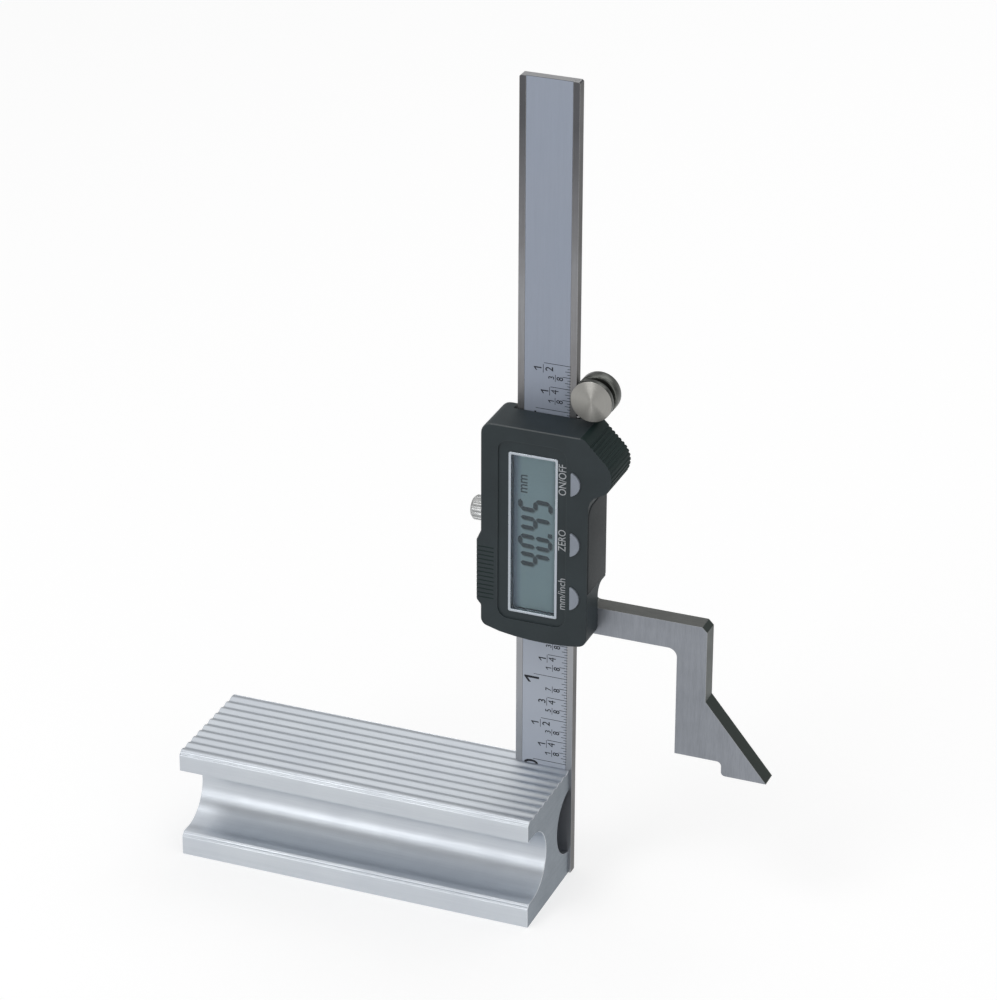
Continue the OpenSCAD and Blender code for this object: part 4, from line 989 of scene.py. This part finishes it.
for source, name in zip(keyNodes, ["keyOnOff", "keyZero", "keyUnits"]):
    dress(name, source, source.replace("button", "key"), "button_grey", "keyPlastic", 0.42, 5, 40)

display = {"top": 38.95, "foot": 47.1, "width": 2.65, "bar": 1.2, "slant": 3.0, "gap": 0.08, "thick": 0.01,
    "digits": [("4", 96.3), ("0", 101.3), ("4", 106.5), ("5", 111.6)], "point": (47.0, 103.9)}
d = SimpleNamespace(**display)
segments = {"0": "abcdef", "4": "bcfg", "5": "acdfg"}


def segmentPoints(letter):
    # a bar with pointed ends, in text right and text up
    w, h, t = d.width / 2, (d.foot - d.top) / 2, d.bar / 2
    flat = letter in "adg"
    v = {"a": 2 * h, "g": h, "d": 0, "e": 0, "c": 0}.get(letter, h)
    low, high = (-w + d.gap, w - d.gap) if flat else (v + d.gap, v + h - d.gap)
    bar = [(low, 0), (low + t, t), (high - t, t), (high, 0), (high - t, -t), (low + t, -t)]
    if flat:
        return [(along, v + side) for along, side in bar]
    u = -w if letter in "ef" else w
    return [(u - side, along) for along, side in bar]


def displayBars(name, y, shiftX, shiftZ, look):
    bars = []
    lean = math.tan(math.radians(d.slant))
    half = (d.foot - d.top) / 2
    for digit, middle in d.digits:
        for letter in segments[digit]:
            outline = [(d.foot - v + shiftX, middle + u + (v - half) * lean + shiftZ)
                for u, v in segmentPoints(letter)]
            # text right is +Z and text up is -X, so the turn is kept counterclockwise from the front
            area = sum(a[0] * b[1] - b[0] * a[1] for a, b in zip(outline, outline[1:] + outline[:1]))
            if area < 0:
                outline.reverse()
            bars.append(extrudeY("bar", outline, y, y + d.thick, look))
    px, pz = d.point
    dot = d.bar / 2
    point = boxOutline(px - dot + shiftX, pz - dot + shiftZ, px + dot + shiftX, pz + dot + shiftZ, 0.2, 3)
    bars.append(extrudeY("bar", point, y, y + d.thick, look))
    return join(name, bars)


panelY = corners("lcd_panel")[0][1]
inkY = panelY - 0.022
# a painted shadow: a lighter grey copy of the digits, shifted, as the shadow they cast on the display's
# reflector
shade = displayBars("paintedDigitShadow", panelY - d.thick, 0.22, -0.28, "paintedDigitShadow")
settle(shade, "slider", "lcd_grey")
reading = displayBars("displayReading", inkY, 0.0, 0.0, "displayInk")
unit = upright("unitMark", "mm", (39.0, 40.85, 114.9, 119.9), inkY, "displayInk")
settle(join("displayDigits", [reading, unit]), "slider", "lcd_grey")

labels = {"ON/OFF": (49.65, 51.75, 116.7, 125.2), "ZERO": (49.7, 51.75, 101.0, 107.0),
    "mm/inch": (49.75, 51.8, 84.5, 93.3)}
labelY = s.front + s.panel - 0.012
marks = [upright("label", words, area, labelY, "labelPaint", 0.0) for words, area in labels.items()]
settle(join("keyLabels", marks), "slider", "button_grey")

print("roller and lock")
r = (rollerHigh[0] - rollerLow[0]) / 2
neck = 3.6
yBack, yFront = rollerHigh[1], rollerLow[1]
rollerProfile = [(1.54, yBack), (r - 0.4, yBack), (r - 0.1, yBack - 0.1), (r, yBack - 0.35), (r, yBack - 3.3),
    (r - 0.08, yBack - 3.5), (r - 0.3, yBack - 3.6), (neck + 0.35, yBack - 3.6), (neck + 0.1, yBack - 3.7),
    (neck, yBack - 3.95), (neck, yFront + 2.05), (neck + 0.1, yFront + 1.8), (neck + 0.35, yFront + 1.7),
    (r - 0.25, yFront + 1.7), (r - 0.07, yFront + 1.62), (r, yFront + 1.45), (r, yFront + 0.14),
    (r - 0.04, yFront + 0.04), (r - 0.14, yFront), (0, yFront)]
# the roller's side finish carries a painted dark reflection
roller = lathe("thumbRoller", rollerProfile, (rollerMid[0], 0, rollerMid[2]), "y", 96, "rollerSidePaintedReflection")
paintFaces(roller, "rollerFace", lambda n, c: abs(n.y) > 0.9 and c.y < yFront + 0.02)
smooth(roller, 50)
settle(roller, "roller", "roller_steel", "thumb_roller")
dress("rollerAxle", "roller_axle", "slider", "axle_steel", "axleSteel", 0.1)
dress("lockKnob", "lock_screw", "lock", "knob_steel", "knobSteel", 0.07, 2, 40)

print("inner pieces")
inner = {"gib_strip": "gibBronze", "zebra_strip": "zebraRubber", "circuit_board": "boardGreen",
    "sensor_pad": "sensorCopper", "button_switches": "spacerBlack", "battery": "cellSteel",
    "battery_contacts": "contactGold", "lock_pad": "gibBronze"}
for name, look in inner.items():
    nodes[name].data.materials.clear()
    nodes[name].data.materials.append(finish[look])

print("floor, light and camera")
stand = {"floor": 6000.0, "white": 0.62, "diffuse": (0.5, 0.5, 0.5, 1), "behind": (0.02, 0.14, -0.55),
    "front": (-0.09, -0.05, 0.16)}
f = SimpleNamespace(**stand)
finish["paleFloor"] = bpy.data.materials.new("paleFloor")
finish["paleFloor"].use_nodes = True
tree = finish["paleFloor"].node_tree
tree.nodes.clear()
path = node(tree, "ShaderNodeLightPath").outputs
# a little brighter in front of the gauge and darker behind it, but only as shiny faces see it
spot = node(tree, "ShaderNodeNewGeometry").outputs["Position"]
along = node(tree, "ShaderNodeSeparateXYZ", {0: spot}).outputs["Y"]
fall = 1.0
for near, far, amount in (f.behind, f.front):
    fall = calc(tree, "ADD", calc(tree, "MULTIPLY", spread(tree, along, near, far), amount), fall)
mirror = calc(tree, "MULTIPLY", path["Is Glossy Ray"], fall)
mirror = calc(tree, "MAXIMUM", mirror, path["Is Transmission Ray"])
shown = calc(tree, "MAXIMUM", path["Is Camera Ray"], mirror)
glow = node(tree, "ShaderNodeEmission", {"Strength": calc(tree, "MULTIPLY", shown, f.white)})
dull = node(tree, "ShaderNodeBsdfDiffuse", {"Color": f.diffuse})
both = node(tree, "ShaderNodeAddShader", {0: dull.outputs[0], 1: glow.outputs[0]})
node(tree, "ShaderNodeOutputMaterial", {"Surface": both.outputs[0]})
half = f.floor / 2
sheet = [(-half, -half, 0), (half, -half, 0), (half, half, 0), (-half, half, 0)]
solidFrom("floor", sheet, [(0, 1, 2, 3)], "paleFloor")

world = bpy.data.worlds.new("studio")
bpy.context.scene.world = world
world.use_nodes = True
tree = world.node_tree
tree.nodes.clear()
path = node(tree, "ShaderNodeLightPath").outputs
direction = node(tree, "ShaderNodeTexCoord").outputs["Generated"]
split = node(tree, "ShaderNodeSeparateXYZ", {0: direction}).outputs
# what shiny faces see, by the angle from the front horizon over the top to the back one
sky = {"bands": [(0, 1.05), (14, 1.1), (30, 0.6), (48, 0.42), (60, 0.55), (76, 1.05), (100, 1.5), (126, 1.45),
    (142, 0.8), (154, 0.5), (180, 0.55)], "ambient": 0.67}
angle = calc(tree, "ARCTAN2", split["Z"], calc(tree, "MULTIPLY", split["Y"], -1.0))
bands = node(tree, "ShaderNodeValToRGB", {"Fac": calc(tree, "DIVIDE", angle, math.pi, clamp=True)})
ramp = bands.color_ramp
ramp.interpolation = "EASE"
while len(ramp.elements) < len(sky["bands"]):
    ramp.elements.new(0.5)
for element, (degrees, level) in zip(ramp.elements, sky["bands"]):
    element.position = degrees / 180
    element.color = (level / 2, level / 2, level / 2, 1)
mirror = calc(tree, "MAXIMUM", path["Is Glossy Ray"], path["Is Transmission Ray"])
shiny = calc(tree, "MULTIPLY", mirror, calc(tree, "MULTIPLY", bands.outputs["Color"], 2.0))
others = calc(tree, "MULTIPLY", calc(tree, "SUBTRACT", 1.0, mirror), sky["ambient"])
strength = calc(tree, "ADD", shiny, others)
seen = node(tree, "ShaderNodeMix", {0: path["Is Camera Ray"], 2: strength, 3: 1.0}).outputs[0]
light = node(tree, "ShaderNodeBackground", {"Strength": seen})
node(tree, "ShaderNodeOutputWorld", {"Surface": light.outputs[0]})

lamps = [("key", (-0.41, -1.19, 0.4), 0.4, 2.0), ("top", (-0.38, -0.53, 1.1), 0.45, 2.0),
    ("fill", (0.9, -0.6, 0.5), 0.8, 0.9), ("rim", (0.2, 0.8, 0.9), 0.8, 1.6)]
aim = Vector((0.02, 0.0, 0.1))
for label, place, size, power in lamps:
    light = bpy.data.lights.new(label, "AREA")
    light.shape = "SQUARE"
    light.size = size
    light.energy = power
    lamp = bpy.data.objects.new(label, light)
    lamp.location = place
    lamp.rotation_euler = (aim - Vector(place)).to_track_quat("-Z", "Y").to_euler()
    collection.objects.link(lamp)

shot = {"place": (0.36785, -0.8387, 0.55743), "lens": 143.906, "sensor": 36, "azimuth": 21.689,
    "elevation": 26.203, "roll": 0.176}
azimuth, elevation, roll = [math.radians(shot[key]) for key in ("azimuth", "elevation", "roll")]
level = math.cos(elevation)
back = Vector((math.sin(azimuth) * level, -math.cos(azimuth) * level, math.sin(elevation)))
right = Vector((math.cos(azimuth), math.sin(azimuth), 0))
up = back.cross(right)
camera = bpy.data.cameras.new("camera")
camera.lens = shot["lens"]
camera.sensor_width = shot["sensor"]
camera.clip_start = 0.01
view = bpy.data.objects.new("camera", camera)
turned = Matrix((right, up, back)).transposed() @ Matrix.Rotation(roll, 3, "Z")
view.matrix_world = Matrix.Translation(shot["place"]) @ turned.to_4x4()
collection.objects.link(view)
bpy.context.scene.camera = view
bpy.context.scene.view_settings.view_transform = "Standard"
